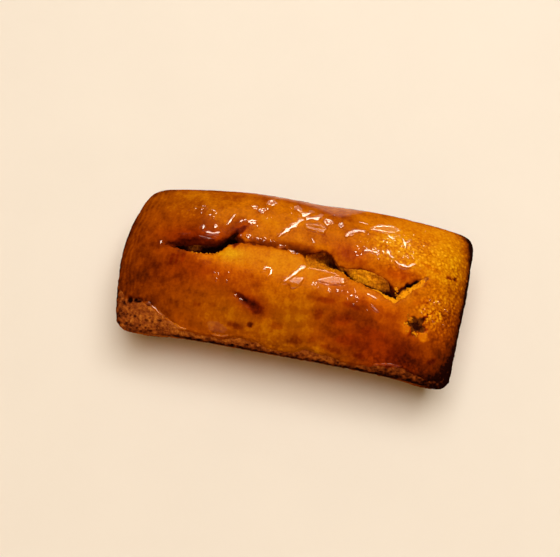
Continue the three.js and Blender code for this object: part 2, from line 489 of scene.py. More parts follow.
@dataclass(frozen=True)
class GlazeFinish:
    """Clear amber glaze over browned crust: a coarse base under a smooth wet coat."""

    depth: GlazeDepth
    broad: float = 0.42
    broad_size: float = 6.0
    mottle: float = 0.34
    mottle_size: float = 2.2
    streak: float = 0.22
    streak_size: float = 1.1
    streak_squeeze: Axes = (1.0, 0.35, 1.0)
    blotch: float = 0.05
    blotch_size: float = 3.2
    blotch_edge: float = 0.05
    fine_size: float = 0.65
    fine_layers: float = 2.0
    fleck: float = 0.2
    golden_fleck: float = 0.5
    golden_bake: Range = (0.15, 0.5)
    porous_fleck: float = 1.6
    grain: float = 0.8
    grain_size: float = 1.15
    grain_reach: Range = (0.15, 0.5)
    grain_shade: Range = (-0.62, 0.16)
    fine_relief: float = 0.6
    relief_depth: float = 0.25
    relief_strength: float = 0.6
    tawny: float = 1.4
    ruddy: float = 0.65
    base_roughness: float = 0.5
    coat_ior: float = 1.46
    coat_tint: Colour = (1.0, 0.97, 0.92)
    browning: Stops = (
        (-0.35, (0.98, 0.430, 0.0120)),
        (0.0, (0.74, 0.270, 0.0030)),
        (0.25, (0.62, 0.165, 0.0010)),
        (0.5, (0.37, 0.064, 0.0006)),
        (0.75, (0.16, 0.021, 0.0005)),
        (1.0, (0.012, 0.002, 0.0010)),
    )

    def warmed(self, warmth: float) -> Stops:
        """Colours from golden crust at 0 to burnt rim at 1, with their green scaled by the warmth."""
        return tuple((place, (red, green * warmth, blue)) for place, (red, green, blue) in self.browning)

    def material(self) -> bpy.types.Material:
        """Makes the material.

        Returns:
            A material that reads the toast, ruddy, porous and wet values of the mesh.
        """
        bench = NodeBench("glaze_" + self.depth.name.lower())
        porous = bench.attribute("porous")
        bake = bench.attribute("toast")
        fine = bench.clouds(self.fine_size, self.fine_layers)
        toast = bench.layer(bake, self.broad, bench.clouds(self.broad_size))
        toast = bench.layer(toast, self.mottle, bench.clouds(self.mottle_size))
        toast = bench.layer(toast, self.streak, bench.clouds(self.streak_size, squeeze=self.streak_squeeze))
        toast = bench.layer(toast, self.blotch, bench.blots(self.blotch_size, self.blotch_edge))
        golden = bench.remap(bake, *self.golden_bake, self.golden_fleck, self.fleck)
        fleck = bench.math("MAXIMUM", golden, bench.math("MULTIPLY", porous, self.porous_fleck))
        toast = bench.layer(toast, fleck, fine)
        dots = bench.remap(bench.pores(self.grain_size), *self.grain_reach, *self.grain_shade)
        grains = bench.math("MULTIPLY", dots, porous)
        toast = bench.layer(toast, self.grain, grains)
        relief = bench.math("SUBTRACT", bench.math("MULTIPLY", fine, self.fine_relief), grains)
        tawny, ruddy = (bench.ramp(toast, self.warmed(warmth)) for warmth in (self.tawny, self.ruddy))
        bench.dress(
            Base_Color=bench.blend(bench.attribute("ruddy"), tawny, ruddy),
            Normal=bench.bump(relief, self.relief_depth, self.relief_strength),
            Roughness=self.base_roughness,
            Specular_IOR_Level=0.0,
            Coat_Weight=bench.attribute("wet"),
            Coat_Roughness=self.depth.value,
            Coat_IOR=self.coat_ior,
            Coat_Tint=self.coat_tint,
        )
        return bench.material


@dataclass(frozen=True)
class CrumbFinish:
    """Bare baked crust on the wall, and torn almond crumb inside the split, with painted shade in the
    split's depths and in the pores.
    """

    name: str = "baked_crumb"
    mottle: float = 0.35
    mottle_size: float = 5.0
    grit: float = 0.8
    fine_size: float = 0.8
    # darker middles of the pores: painted shade
    pit_shade: float = 0.4
    fibre: float = 0.9
    fibre_size: float = 0.6
    fibre_squeeze: Axes = (1.0, 0.35, 0.35)
    # the crumb's darkening with depth and its near-black hollow colour are painted shade
    depth_shading: float = 0.6
    hollow_shadow_from: Range = (0.4, 1.0)
    hollow: Colour = (0.006, 0.001, 0.001)
    pore_size: float = 0.6
    pore_relief: float = 0.7
    relief_depth: float = 0.3
    relief_strength: float = 1.0
    roughness: float = 0.5
    bare_wall: Stops = (
        (0.0, (0.68, 0.25, 0.030)),
        (0.3, (0.46, 0.125, 0.014)),
        (0.55, (0.26, 0.054, 0.008)),
        (0.8, (0.085, 0.015, 0.003)),
        (1.0, (0.010, 0.002, 0.0015)),
    )
    torn_crumb: Stops = (
        (0.0, (0.95, 0.38, 0.006)),
        (0.3, (0.62, 0.185, 0.004)),
        (0.6, (0.28, 0.068, 0.004)),
        (1.0, (0.06, 0.010, 0.003)),
    )

    def material(self) -> bpy.types.Material:
        """Makes the material.

        Returns:
            A material that reads the mesh's toast and torn values, and the two masks for its painted shade:
            in the split's depths and in the pores.
        """
        bench = NodeBench(self.name)
        fine = bench.clouds(self.fine_size)
        bake = bench.attribute("toast")
        depth_shade = bench.attribute("depth_shade")
        toast = bench.layer(bake, self.mottle, bench.clouds(self.mottle_size))
        toast = bench.layer(toast, self.grit, fine)
        # painted shade in the middle of each pore
        toast = bench.layer(toast, self.pit_shade, bench.attribute("pit"))
        wall = bench.ramp(toast, self.bare_wall)
        fibres = bench.layer(bake, self.fibre, bench.clouds(self.fibre_size, squeeze=self.fibre_squeeze))
        # painted shade: the crumb darkens with depth and turns near black in the split's hollows
        crumb = bench.ramp(bench.layer(fibres, self.depth_shading, depth_shade), self.torn_crumb)
        inside = bench.blend(bench.remap(depth_shade, *self.hollow_shadow_from, 0.0, 1.0), crumb, self.hollow)
        relief = bench.layer(fine, self.pore_relief, bench.pores(self.pore_size))
        bench.dress(
            Base_Color=bench.blend(bench.attribute("torn"), wall, inside),
            Normal=bench.bump(relief, self.relief_depth, self.relief_strength),
            Roughness=self.roughness,
            Specular_IOR_Level=0.0,
        )
        return bench.material


@dataclass(frozen=True)
class FloorFinish:
    """Pale painted board, very slightly uneven."""

    name: str = "pale_board"
    light: Colour = (0.88, 0.85, 0.82)
    dim: Colour = (0.865, 0.835, 0.805)
    mottle_size: float = 30.0
    mottle_edge: float = 0.2
    roughness: float = 0.85
    gloss: float = 0.2

    def material(self) -> bpy.types.Material:
        """Makes the material.

        Returns:
            A pale material with a faint mottling.
        """
        bench = NodeBench(self.name)
        mottle = bench.clouds(self.mottle_size)
        shade = bench.remap(mottle, -self.mottle_edge, self.mottle_edge, 0.0, 1.0)
        bench.dress(
            Base_Color=bench.blend(shade, self.dim, self.light),
            Roughness=self.roughness,
            Specular_IOR_Level=self.gloss,
        )
        return bench.material


@dataclass(frozen=True)
class Patch:
    """An oval place on the cake: its middle, its reach along and across, its turn, and how strong it is."""

    x: float
    y: float
    along: float
    across: float
    turn: float = 0.0
    amount: float = 1.0
    blot_edge: ClassVar[Range] = (1.5, 0.6)

    def reach(self, points: np.ndarray) -> np.ndarray:
        """Measures from the middle.

        Args:
            points: Places on the cake.

        Returns:
            Each point's distance, 1 at the oval's edge.
        """
        angle = math.radians(self.turn)
        dx, dy = points[:, 0] - self.x, points[:, 1] - self.y
        along = dx * math.cos(angle) + dy * math.sin(angle)
        across = dy * math.cos(angle) - dx * math.sin(angle)
        return np.hypot(along / self.along, across / self.across)

    def share(self, points: np.ndarray) -> np.ndarray:
        """1 in the middle, fading softly to 0."""
        return np.exp(-self.reach(points) ** 2)

    def blot(self, points: np.ndarray, stray: np.ndarray) -> np.ndarray:
        """1 inside and 0 outside, with an edge that strays."""
        return ease(*self.blot_edge, self.reach(points) + stray)


# In the small spots, the darkest values are painted shade in hollows, not browning.
Stain = tuple[Patch, float]  # a place, and how brown it is there


def heaped(patches: tuple[Patch, ...], points: np.ndarray) -> np.ndarray:
    """How strong the patches are at each point, added up."""
    return sum(patch.amount * patch.share(points) for patch in patches)


def stained(bake: np.ndarray, stains: tuple[Stain, ...], points: np.ndarray) -> np.ndarray:
    """Lays stains over a bake, each over the ones before.

    Args:
        bake: How brown each point is at first.
        stains: Places that fade softly, and how brown they are.
        points: Places on the cake.

    Returns:
        How brown each point is.
    """
    for patch, value in stains:
        bake = bake + (value - bake) * patch.amount * patch.share(points)
    return bake


@dataclass(frozen=True)
class CrownForm:
    """The unsplit crown, as the solid has it."""

    wall_height: float = 14.0
    rise: float = 8.7
    rim_left: float = 45.3
    rim_right: float = 47.83
    rim_near: float = 25.05
    rim_far: float = 20.85
    left_fall: Range = (3.6, 0.7)
    right_fall: Range = (7.0, 0.9)
    side_fall: Range = (2.5, 0.62)
    swell_fade: float = 0.33
    swells: tuple[Patch, ...] = (
        Patch(1, 13.7, 15, 6, -4, 1.2),
        Patch(24, 8.7, 9, 6, -14, 1.1),
        Patch(7, -7.3, 15, 5, -10, 0.8),
        Patch(-26, 6.7, 7, 3.5, 6, 0.9),
        Patch(-12, 11.7, 7, 7, 0, -0.5),
        Patch(-38, 14.7, 10, 8, 20, -0.7),
    )

    @staticmethod
    def fall(share: np.ndarray, powers: Range) -> np.ndarray:
        """Falls from 1 in the middle to 0 at the rim."""
        inner, outer = powers
        return (1 - np.abs(share) ** inner) ** outer

    def height(self, points: np.ndarray) -> np.ndarray:
        """Works out the unsplit crown.

        Args:
            points: Places on the cake.

        Returns:
            The crown's height over each point.
        """
        middle = points[:, :2] - np.array([0.0, OFF_CENTRE])
        x, y = middle.T
        along = np.clip(x / np.where(x < 0, self.rim_left, self.rim_right), -1, 1)
        across = np.clip(y / np.where(y < 0, self.rim_near, self.rim_far), -1, 1)
        ends = np.where(along < 0, self.fall(along, self.left_fall), self.fall(along, self.right_fall))
        dome = self.fall(across, self.side_fall) * ends
        swell = np.minimum(1, dome / self.swell_fade) * heaped(self.swells, middle)
        return self.wall_height + self.rise * dome + swell


class Station(NamedTuple):
    """One place along the split: its near and far lips, the foot's share of the way over, and its depth."""

    x: float
    near: float
    far: float
    foot: float
    depth: float


@dataclass(frozen=True)
class SplitForm:
    """The split from left to right, and the star-shaped tear near the right end."""

    stations: tuple[Station, ...] = (
        Station(-38, 1, 1.8, 0.5, 0.6),
        Station(-34.5, 0.4, 3.5, 0.3, 2.4),
        Station(-30, -0.3, 4.2, 0.2, 4.6),
        Station(-25, -0.7, 3.8, 0.18, 5),
        Station(-21.5, 0, 4.5, 0.2, 5),
        Station(-18.6, 2.9, 6.5, 0.35, 4.2),
        Station(-15.5, 4, 5.8, 0.4, 1.6),
        Station(-10, 4.2, 5.8, 0.3, 1.3),
        Station(-3, 4, 5.7, 0.3, 1.3),
        Station(1.5, 3.2, 5.4, 0.6, 2),
        Station(4.5, 0.6, 5.2, 0.75, 3.8),
        Station(7.5, 0.6, 6.5, 0.78, 6),
        Station(10, 0.9, 4.8, 0.75, 6.2),
        Station(12.5, 0.7, 2.1, 0.5, 5),
        Station(14.5, 0, 1.8, 0.2, 4.2),
        Station(17, -1.6, 2.6, 0.1, 3.6),
        Station(20.5, -2.3, 2.6, 0.1, 3.2),
        Station(24, -3.2, 1.4, 0.1, 3.2),
        Station(27, -4.2, -0.2, 0.12, 3.4),
        Station(28.6, -4.9, -2, 0.3, 3.4),
        Station(30.2, -2, 0, 0.4, 3),
        Station(33.5, 0.8, 2.2, 0.5, 2),
        Station(37, 3.6, 4.1, 0.5, 0.6),
    )
    tear: tuple[float, float] = (35.5, -10.3)
    tear_reach: float = 5.4
    tear_fade: float = 1.0
    tear_depth: float = 2.0
    foot_blur: float = 0.1
    margin: float = 5.0
    margin_fade: float = 1.0
    end_reach: float = 1.5
    end_sharpness: float = 4.0

    def along(self, points: np.ndarray, size: str) -> np.ndarray:
        """One size of the split at each point, by its place along the bar."""
        return lengthwise(points, self.stations, Station._fields.index(size))

    def from_near(self, points: np.ndarray) -> np.ndarray:
        """Distance across the bar from the near lip: negative outside the split."""
        return points[:, 1] - OFF_CENTRE - self.along(points, "near")

    def width(self, points: np.ndarray) -> np.ndarray:
        """Distance from the near lip to the far lip."""
        return self.along(points, "far") - self.along(points, "near")

    def near_side(self, points: np.ndarray) -> np.ndarray:
        """1 on the near side of the split's foot, 0 on its far side."""
        across = self.from_near(points) / self.width(points)
        return ease(self.foot_blur, -self.foot_blur, across - self.along(points, "foot"))

    def in_tear(self, points: np.ndarray) -> np.ndarray:
        """1 in the tear near the right end, 0 elsewhere."""
        away = np.hypot(points[:, 0] - self.tear[0], points[:, 1] - self.tear[1])
        return ease(self.tear_reach + self.tear_fade, self.tear_reach, away)

    def depth(self, points: np.ndarray) -> np.ndarray:
        """How deep the split or the tear is at each point."""
        tear = self.in_tear(points)
        return self.along(points, "depth") * (1.0 - tear) + self.tear_depth * tear

    def zone(self, points: np.ndarray) -> np.ndarray:
        """Finds where the crust may be torn.

        Args:
            points: Places on the cake.

        Returns:
            1 at each point in or near the split and the tear, 0 elsewhere.
        """
        from_near = self.from_near(points)
        outside = np.maximum(-from_near, from_near - self.width(points))
        first, last = self.stations[0].x - self.end_reach, self.stations[-1].x + self.end_reach
        beyond = self.end_sharpness * np.maximum(first - points[:, 0], points[:, 0] - last)
        near = ease(self.margin, self.margin - self.margin_fade, np.maximum(outside, beyond))
        return np.maximum(near, self.in_tear(points))


@dataclass(frozen=True)
class Browning:
    """How brown the crust is over the whole cake, from golden at 0 to burnt at 1, with painted shade laid in
    at the near rim, in small hollows and in the split.
    """

    crust: float = 0.32
    wall: float = 0.44
    wall_mottle: float = 0.12
    wall_mottle_size: float = 14.0
    rim_height: float = 14.1
    rim_width: float = 1.05
    # Darker band round the rim by direction: burnt edges at the ends, and along the near side a painted
    # shade line under the overhang.
    rim_burn_and_shade: Table = (
        (-180, 0.4), (-150, 0.3), (-128, 0.1), (-118, 0.55), (-68, 0.55), (-60, 0.3), (-45, 0.3), (-33, 0.8),
        (-20, 0.8), (20, 0.8), (30, 0.9), (50, 0.5), (100, 0.15), (150, 0.3), (180, 0.4),
    )
    # How brown the torn crumb is by place along the bar, on the near and on the far side of the split's
    # foot: golden crumb, and near-black values that are painted shade in the split's pockets and narrow
    # parts.
    crumb_bake_and_shade: Table = (
        (-38, 0.8, 0.8), (-34.5, 1.0, 0.85), (-32.5, 1.0, 0.9), (-30, 0.72, 0.8), (-27.8, 0.66, 0.8),
        (-26, 1.0, 0.95), (-22, 1.0, 0.95), (-20, 1.0, 1.0), (-16, 0.9, 0.95), (0, 0.6, 0.8), (4, 0.3, 0.55),
        (9, 0.3, 0.6), (12.5, 0.3, 0.6), (15, 0.0, 0.2), (20, 0.0, 0.12), (24, 0.0, 0.34), (27.5, 0.0, 0.75),
        (29, 0.0, 1.0), (31, 0.0, 1.0), (37, 0.1, 0.9),
    )
    tear_bake: float = 0.8
    wall_patches: tuple[Stain, ...] = (
        (Patch(46, -22, 9, 9, 0, 1.0), 0.95),
        (Patch(30, -24, 9, 6, 0, 0.8), 0.72),
        (Patch(-46, -20, 9, 12, 0, 0.8), 0.58),
    )
    ruddy_patches: tuple[Patch, ...] = (
        Patch(24, -17, 13, 6, 0, 0.9),
        Patch(30, -22, 9, 4, 0, 0.8),
        Patch(20, -6, 14, 3, -12, 0.6),
        Patch(-20, -5, 12, 3.5, 0, 0.6),
        Patch(-33, -4, 8, 8, 0, 0.3),
        Patch(-28, 4.0, 10, 3.2, 0, 1.2),
        Patch(-17, 8.4, 3.2, 2, 50, 0.9),
        Patch(14.5, 6.5, 6, 3, -20, 0.8),
        Patch(28.5, 2.6, 5, 2.2, 0, 0.9),
        Patch(-9, -12.8, 5, 2.4, -24, 1.6),
        Patch(-8, -15.5, 16, 5, 0, -0.9),
        Patch(9, -21.6, 16, 2.2, 0, -1.0),
        Patch(4, -14, 5, 6, 0, -0.5),
        Patch(46, 9, 6, 13, 0, -1.0),
        Patch(-18, 0.8, 4, 2.5, 0, -1.0),
        Patch(-36, 18, 14, 6, 0, -0.5),
    )
    patches: tuple[Stain, ...] = (
        (Patch(-46, 0, 19, 34, 0, 0.95), 0.68),
        (Patch(-33, 15, 12, 8, 0, 0.7), 0.46),
        (Patch(-39, -11, 14, 12, 0, 0.85), 0.82),
        (Patch(-22, -10, 14, 8, 0, 0.8), 0.58),
        (Patch(-33, -15, 8, 4, 0, 0.8), 0.70),
        (Patch(-2, -14, 12, 6, 0, 0.8), 0.50),
        (Patch(-14, -6.5, 8, 2.5, 0, 0.6), 0.50),
        (Patch(-5, 0, 19, 4.6, -4, 0.95), 0.08),
        (Patch(-17.6, 1.0, 4, 2.2, 0, 0.85), -0.02),
        (Patch(-8, 11, 14, 6, 0, 0.7), 0.29),
        (Patch(-26, 6.8, 9, 2.6, 0, 0.8), 0.62),
        (Patch(-29, 4.2, 8, 1.1, 0, 0.9), 0.80),
        (Patch(-33, -1.2, 4, 1.8, 0, 0.7), 0.66),
        (Patch(-24, -1, 4.5, 1.3, 0, 0.85), 0.22),
        (Patch(-18.5, 8.8, 2.0, 3.6, -32, 0.85), 0.74),
        (Patch(-11, 4.4, 4, 0.9, 0, 0.8), 0.54),
        # the next two darken the crease along the split: painted shade
        (Patch(-6, 6, 10, 0.9, -1, 0.9), 0.70),
        (Patch(2, 5.6, 3, 1.3, -10, 0.9), 0.78),
        (Patch(14.5, 7.5, 6, 4, -25, 0.85), 0.53),
        (Patch(16.5, 4.6, 4, 2, -25, 0.8), 0.58),
        (Patch(19, -13, 15, 7.5, 0, 0.95), 0.68),
        (Patch(17, -17, 7, 4, 0, 0.7), 0.72),
        (Patch(27, 12, 10, 7, 0, 0.95), -0.06),
        (Patch(16, 14, 4, 4, 0, 0.7), 0.44),
        (Patch(31, 19.5, 6, 2.4, 0, 0.6), 0.22),
        (Patch(46, 18, 5, 4.5, 0, 0.85), 0.56),
        (Patch(7.5, 19.5, 6, 2, -8, 0.7), 0.62),
        (Patch(10, -10.8, 4, 3, 0, 0.6), 0.64),
        (Patch(-38, -16, 4, 2.5, 0, 0.6), 0.80),
        (Patch(-11, -16, 5, 2.4, 0, 0.5), 0.62),
        (Patch(-3, 22, 24, 2.0, 0, 0.6), 0.56),
        (Patch(38, 3.5, 3.6, 5.5, 0, 0.8), 0.42),
        (Patch(42, 10, 9, 15, 0, 0.95), 0.01),
        (Patch(29, 3, 7, 2.2, -8, 0.8), 0.54),
        (Patch(22, -5, 6, 1.8, -17, 0.8), 0.10),
        (Patch(36, -17, 9, 5, 0, 0.8), 0.72),
        (Patch(32.4, -11, 1.4, 2.2, 0, 0.8), 0.05),
        (Patch(40.4, -7, 3, 4, 0, 0.8), 0.02),
        (Patch(0, -22.5, 60, 2.6, 0, 0.75), 0.64),
        (Patch(34, -20, 11, 3.5, 0, 0.9), 0.84),
        (Patch(46.8, 2, 5.4, 26, -3.4, 0.9), 0.52),
        (Patch(46.4, -9.5, 4.4, 8, -3.4, 0.9), 0.78),
        (Patch(46.4, -19, 5, 6.5, 10, 1.0), 0.96),
        (Patch(43, -22.8, 9, 2.8, 0, 1.0), 0.97),
        (Patch(-18, -21, 5, 2, 0, 0.6), 0.66),
        (Patch(48.3, 0, 2.1, 60, -3.4, 0.95), 0.88),
        (Patch(48.5, 19.5, 2.6, 4, 0, 0.95), 0.92),
        (Patch(-9.8, -12.3, 4.4, 1.5, -26, 0.7), 0.76),
        (Patch(-7.2, -13.6, 2.4, 1.8, -10, 0.7), 0.74),
    )
    # Small spots with strayed edges: brown spots on the crust, and painted shade in the pores, the crack's
    # branch and the tear's arms.
    spots: tuple[Stain, ...] = (
        (Patch(-11.0, -11.6, 3.6, 0.6, -26, 0.85), 0.86),
        (Patch(-8.2, -13.0, 2.4, 1.2, -22, 0.8), 0.84),
        (Patch(-16.6, 8.6, 2.4, 0.8, 52, 0.9), 0.88),
        (Patch(-15.4, 5.2, 1.4, 1.5, 0, 0.9), 0.30),
        (Patch(-16.8, 4.0, 0.6, 1.6, -20, 0.8), 0.82),
        (Patch(-33.5, -2.8, 0.5, 1.6, 0, 0.8), 0.76),
        (Patch(-32.1, -2.7, 0.4, 1.5, 0, 0.8), 0.74),
        (Patch(-30.5, -2.6, 0.5, 1.4, 0, 0.7), 0.72),
        (Patch(37.2, -7.8, 1.9, 0.55, 55, 0.9), 0.86),
        (Patch(34.3, -12.1, 1.6, 0.4, 58, 0.8), 0.74),
        (Patch(37.1, -10.5, 1.1, 0.4, -10, 0.8), 0.74),
        (Patch(37.4, -13, 1.4, 1.1, 0, 0.8), 0.06),
        (Patch(-12.6, -18.4, 1.9, 0.8, 0, 0.7), 0.76),
        (Patch(-8.6, -17.6, 0.9, 0.6, 0, 0.9), 0.86),
        (Patch(-1.3, -16.9, 1.6, 0.8, 0, 0.55), 0.70),
        (Patch(3.7, -19.5, 1.7, 1.1, 0, 0.65), 0.72),
        (Patch(13.8, -20.1, 2.4, 0.6, -8, 0.6), 0.76),
        (Patch(21.7, -20.5, 1.6, 0.5, 0, 0.8), 0.80),
        (Patch(17.6, -17.3, 2.4, 1.0, 10, 0.6), 0.74),
        (Patch(8.8, -12.2, 1.0, 1.2, 0, 0.7), 0.70),
        (Patch(10.4, -8.4, 2.6, 0.7, 4, 0.7), 0.68),
        (Patch(8.4, -18.8, 1.4, 0.6, 20, 0.45), 0.68),
        (Patch(15.5, -12.6, 2.6, 1.4, 10, 0.5), 0.70),
        (Patch(17.2, -8.6, 2.6, 0.6, -10, 0.6), 0.66),
        (Patch(24.5, -15, 3.0, 1.2, -14, 0.5), 0.74),
        (Patch(36.8, 7.0, 3.0, 0.5, -16, 0.4), 0.48),
        (Patch(35.6, -3.6, 2.4, 0.8, 30, 0.4), 0.42),
        (Patch(42, 5.8, 0.8, 0.5, 0, 0.9), 0.85),
        (Patch(44, 6.1, 0.6, 0.5, 0, 0.9), 0.92),
        (Patch(40.6, -18.4, 1.2, 0.6, 40, 0.9), 0.98),
        (Patch(-24.4, -14.8, 0.5, 0.6, 0, 0.5), 0.80),
        (Patch(-23.2, -14.8, 0.4, 0.6, 0, 0.5), 0.80),
        (Patch(-19.4, -14.4, 0.8, 0.7, 0, 0.35), 0.76),
        (Patch(-42.8, -15.3, 0.6, 0.7, 0, 1.0), 1.0),
        (Patch(-41.0, -15.6, 0.6, 0.6, 0, 1.0), 1.0),
        (Patch(-39.8, -15.4, 0.6, 0.7, 0, 1.0), 1.0),
    )
    spot_stray: float = 0.5
    spot_stray_size: float = 1.4
    line_step: float = 1.3
    line_stray: float = 0.9
    line_stray_size: float = 5.0
    line_depth: float = 0.055
    line_reach: Range = (9.0, 3.0)
    left_end: float = 49.0
    left_bulge: float = 3.7
    half_width: float = 23.0

    def toast(self, points: np.ndarray, glazed: np.ndarray) -> np.ndarray:
        """Works out the browning, with painted shade at the near rim and in small hollows.

        Args:
            points: Places on the cake.
            glazed: 1 under the glaze, 0 on the bare wall.

        Returns:
            How brown each point is.
        """
        top = stained(np.full(len(points), self.crust), self.patches, points)
        mottle = Grain.clouds(points, self.wall_mottle_size, Pattern.WALL_MOTTLE, layers=2)
        wall = stained(self.wall + self.wall_mottle * mottle, self.wall_patches, points)
        rim = np.exp(-((points[:, 2] - self.rim_height) / self.rim_width) ** 2)
        # darker band at the rim: burnt edges, and on the near side painted shade under the overhang
        rim_darkening = around(points, self.rim_burn_and_shade) * rim
        toast = wall + (top + self.lines(points) - wall) * glazed + rim_darkening
        stray = self.stray(points)
        # spots: brown marks, and painted shade in pores and narrow cracks
        for patch, value in self.spots:
            toast += (value - toast) * patch.amount * patch.blot(points, stray)
        return toast

    def stray(self, points: np.ndarray) -> np.ndarray:
        """How far the edges of the spots stray at each point."""
        return self.spot_stray * Grain.clouds(points, self.spot_stray_size, Pattern.SPOT_EDGES, layers=2)

    def lines(self, points: np.ndarray) -> np.ndarray:
        """Works out fine brown lines that follow the left end.

        Args:
            points: Places on the cake.

        Returns:
            How much browner each point is for them.
        """
        inward = points[:, 0] + self.left_end - self.left_bulge * (points[:, 1] / self.half_width) ** 2
        stray = Grain.clouds(points, self.line_stray_size, Pattern.END_LINES, layers=2)
        wave = np.sin(2.0 * math.pi * (inward + self.line_stray * stray) / self.line_step)
        return self.line_depth * wave * ease(*self.line_reach, inward)

    def ruddiness(self, points: np.ndarray) -> np.ndarray:
        """Works out how red the brown is.

        Args:
            points: Places on the cake.

        Returns:
            One value for each point, from tawny at 0 to ruddy at 1.
        """
        stray = self.stray(points)
        dark = [patch for patch, value in self.spots if value > self.crust]
        red = heaped(self.ruddy_patches, points)
        red += sum(patch.amount * patch.blot(points, stray) for patch in dark)
        return 0.5 + 0.5 * np.clip(red, -1, 1)

    def crumb(self, points: np.ndarray, split: SplitForm) -> np.ndarray:
        """Works out how brown the torn crumb is inside the split and the tear, with painted shade as its
        darkest values in the split's pockets.

        Args:
            points: Places on the cake.
            split: Where the split and the tear lie.

        Returns:
            One value for each point.
        """
        near, far = (lengthwise(points, self.crumb_bake_and_shade, column) for column in (1, 2))
        bake = far + (near - far) * split.near_side(points)
        return bake + (self.tear_bake - bake) * split.in_tear(points)


def make_piece(name: str, points: np.ndarray, faces: Faces, values: dict[str, np.ndarray],
               material: bpy.types.Material) -> bpy.types.Object:
    """Makes a mesh piece that rides with the cake.

    Args:
        name: The piece's name.
        points: Its points, in millimetres.
        faces: Its faces, as rows of point numbers.
        values: Named values stored on its points.
        material: Its finish.

    Returns:
        The new piece.
    """
    mesh = bpy.data.meshes.new(name)
    mesh.from_pydata((points * MM).tolist(), [], faces)
    mesh.polygons.foreach_set("use_smooth", np.ones(len(faces), bool))
    for label, value in values.items():
        mesh.attributes.new(label, "FLOAT", "POINT").data.foreach_set("value", value.astype(np.float32))
    mesh.materials.append(material)
    mesh.update()
    piece = bpy.data.objects.new(name, mesh)
    bpy.context.scene.collection.objects.link(piece)
    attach(piece, BODY)
    return piece


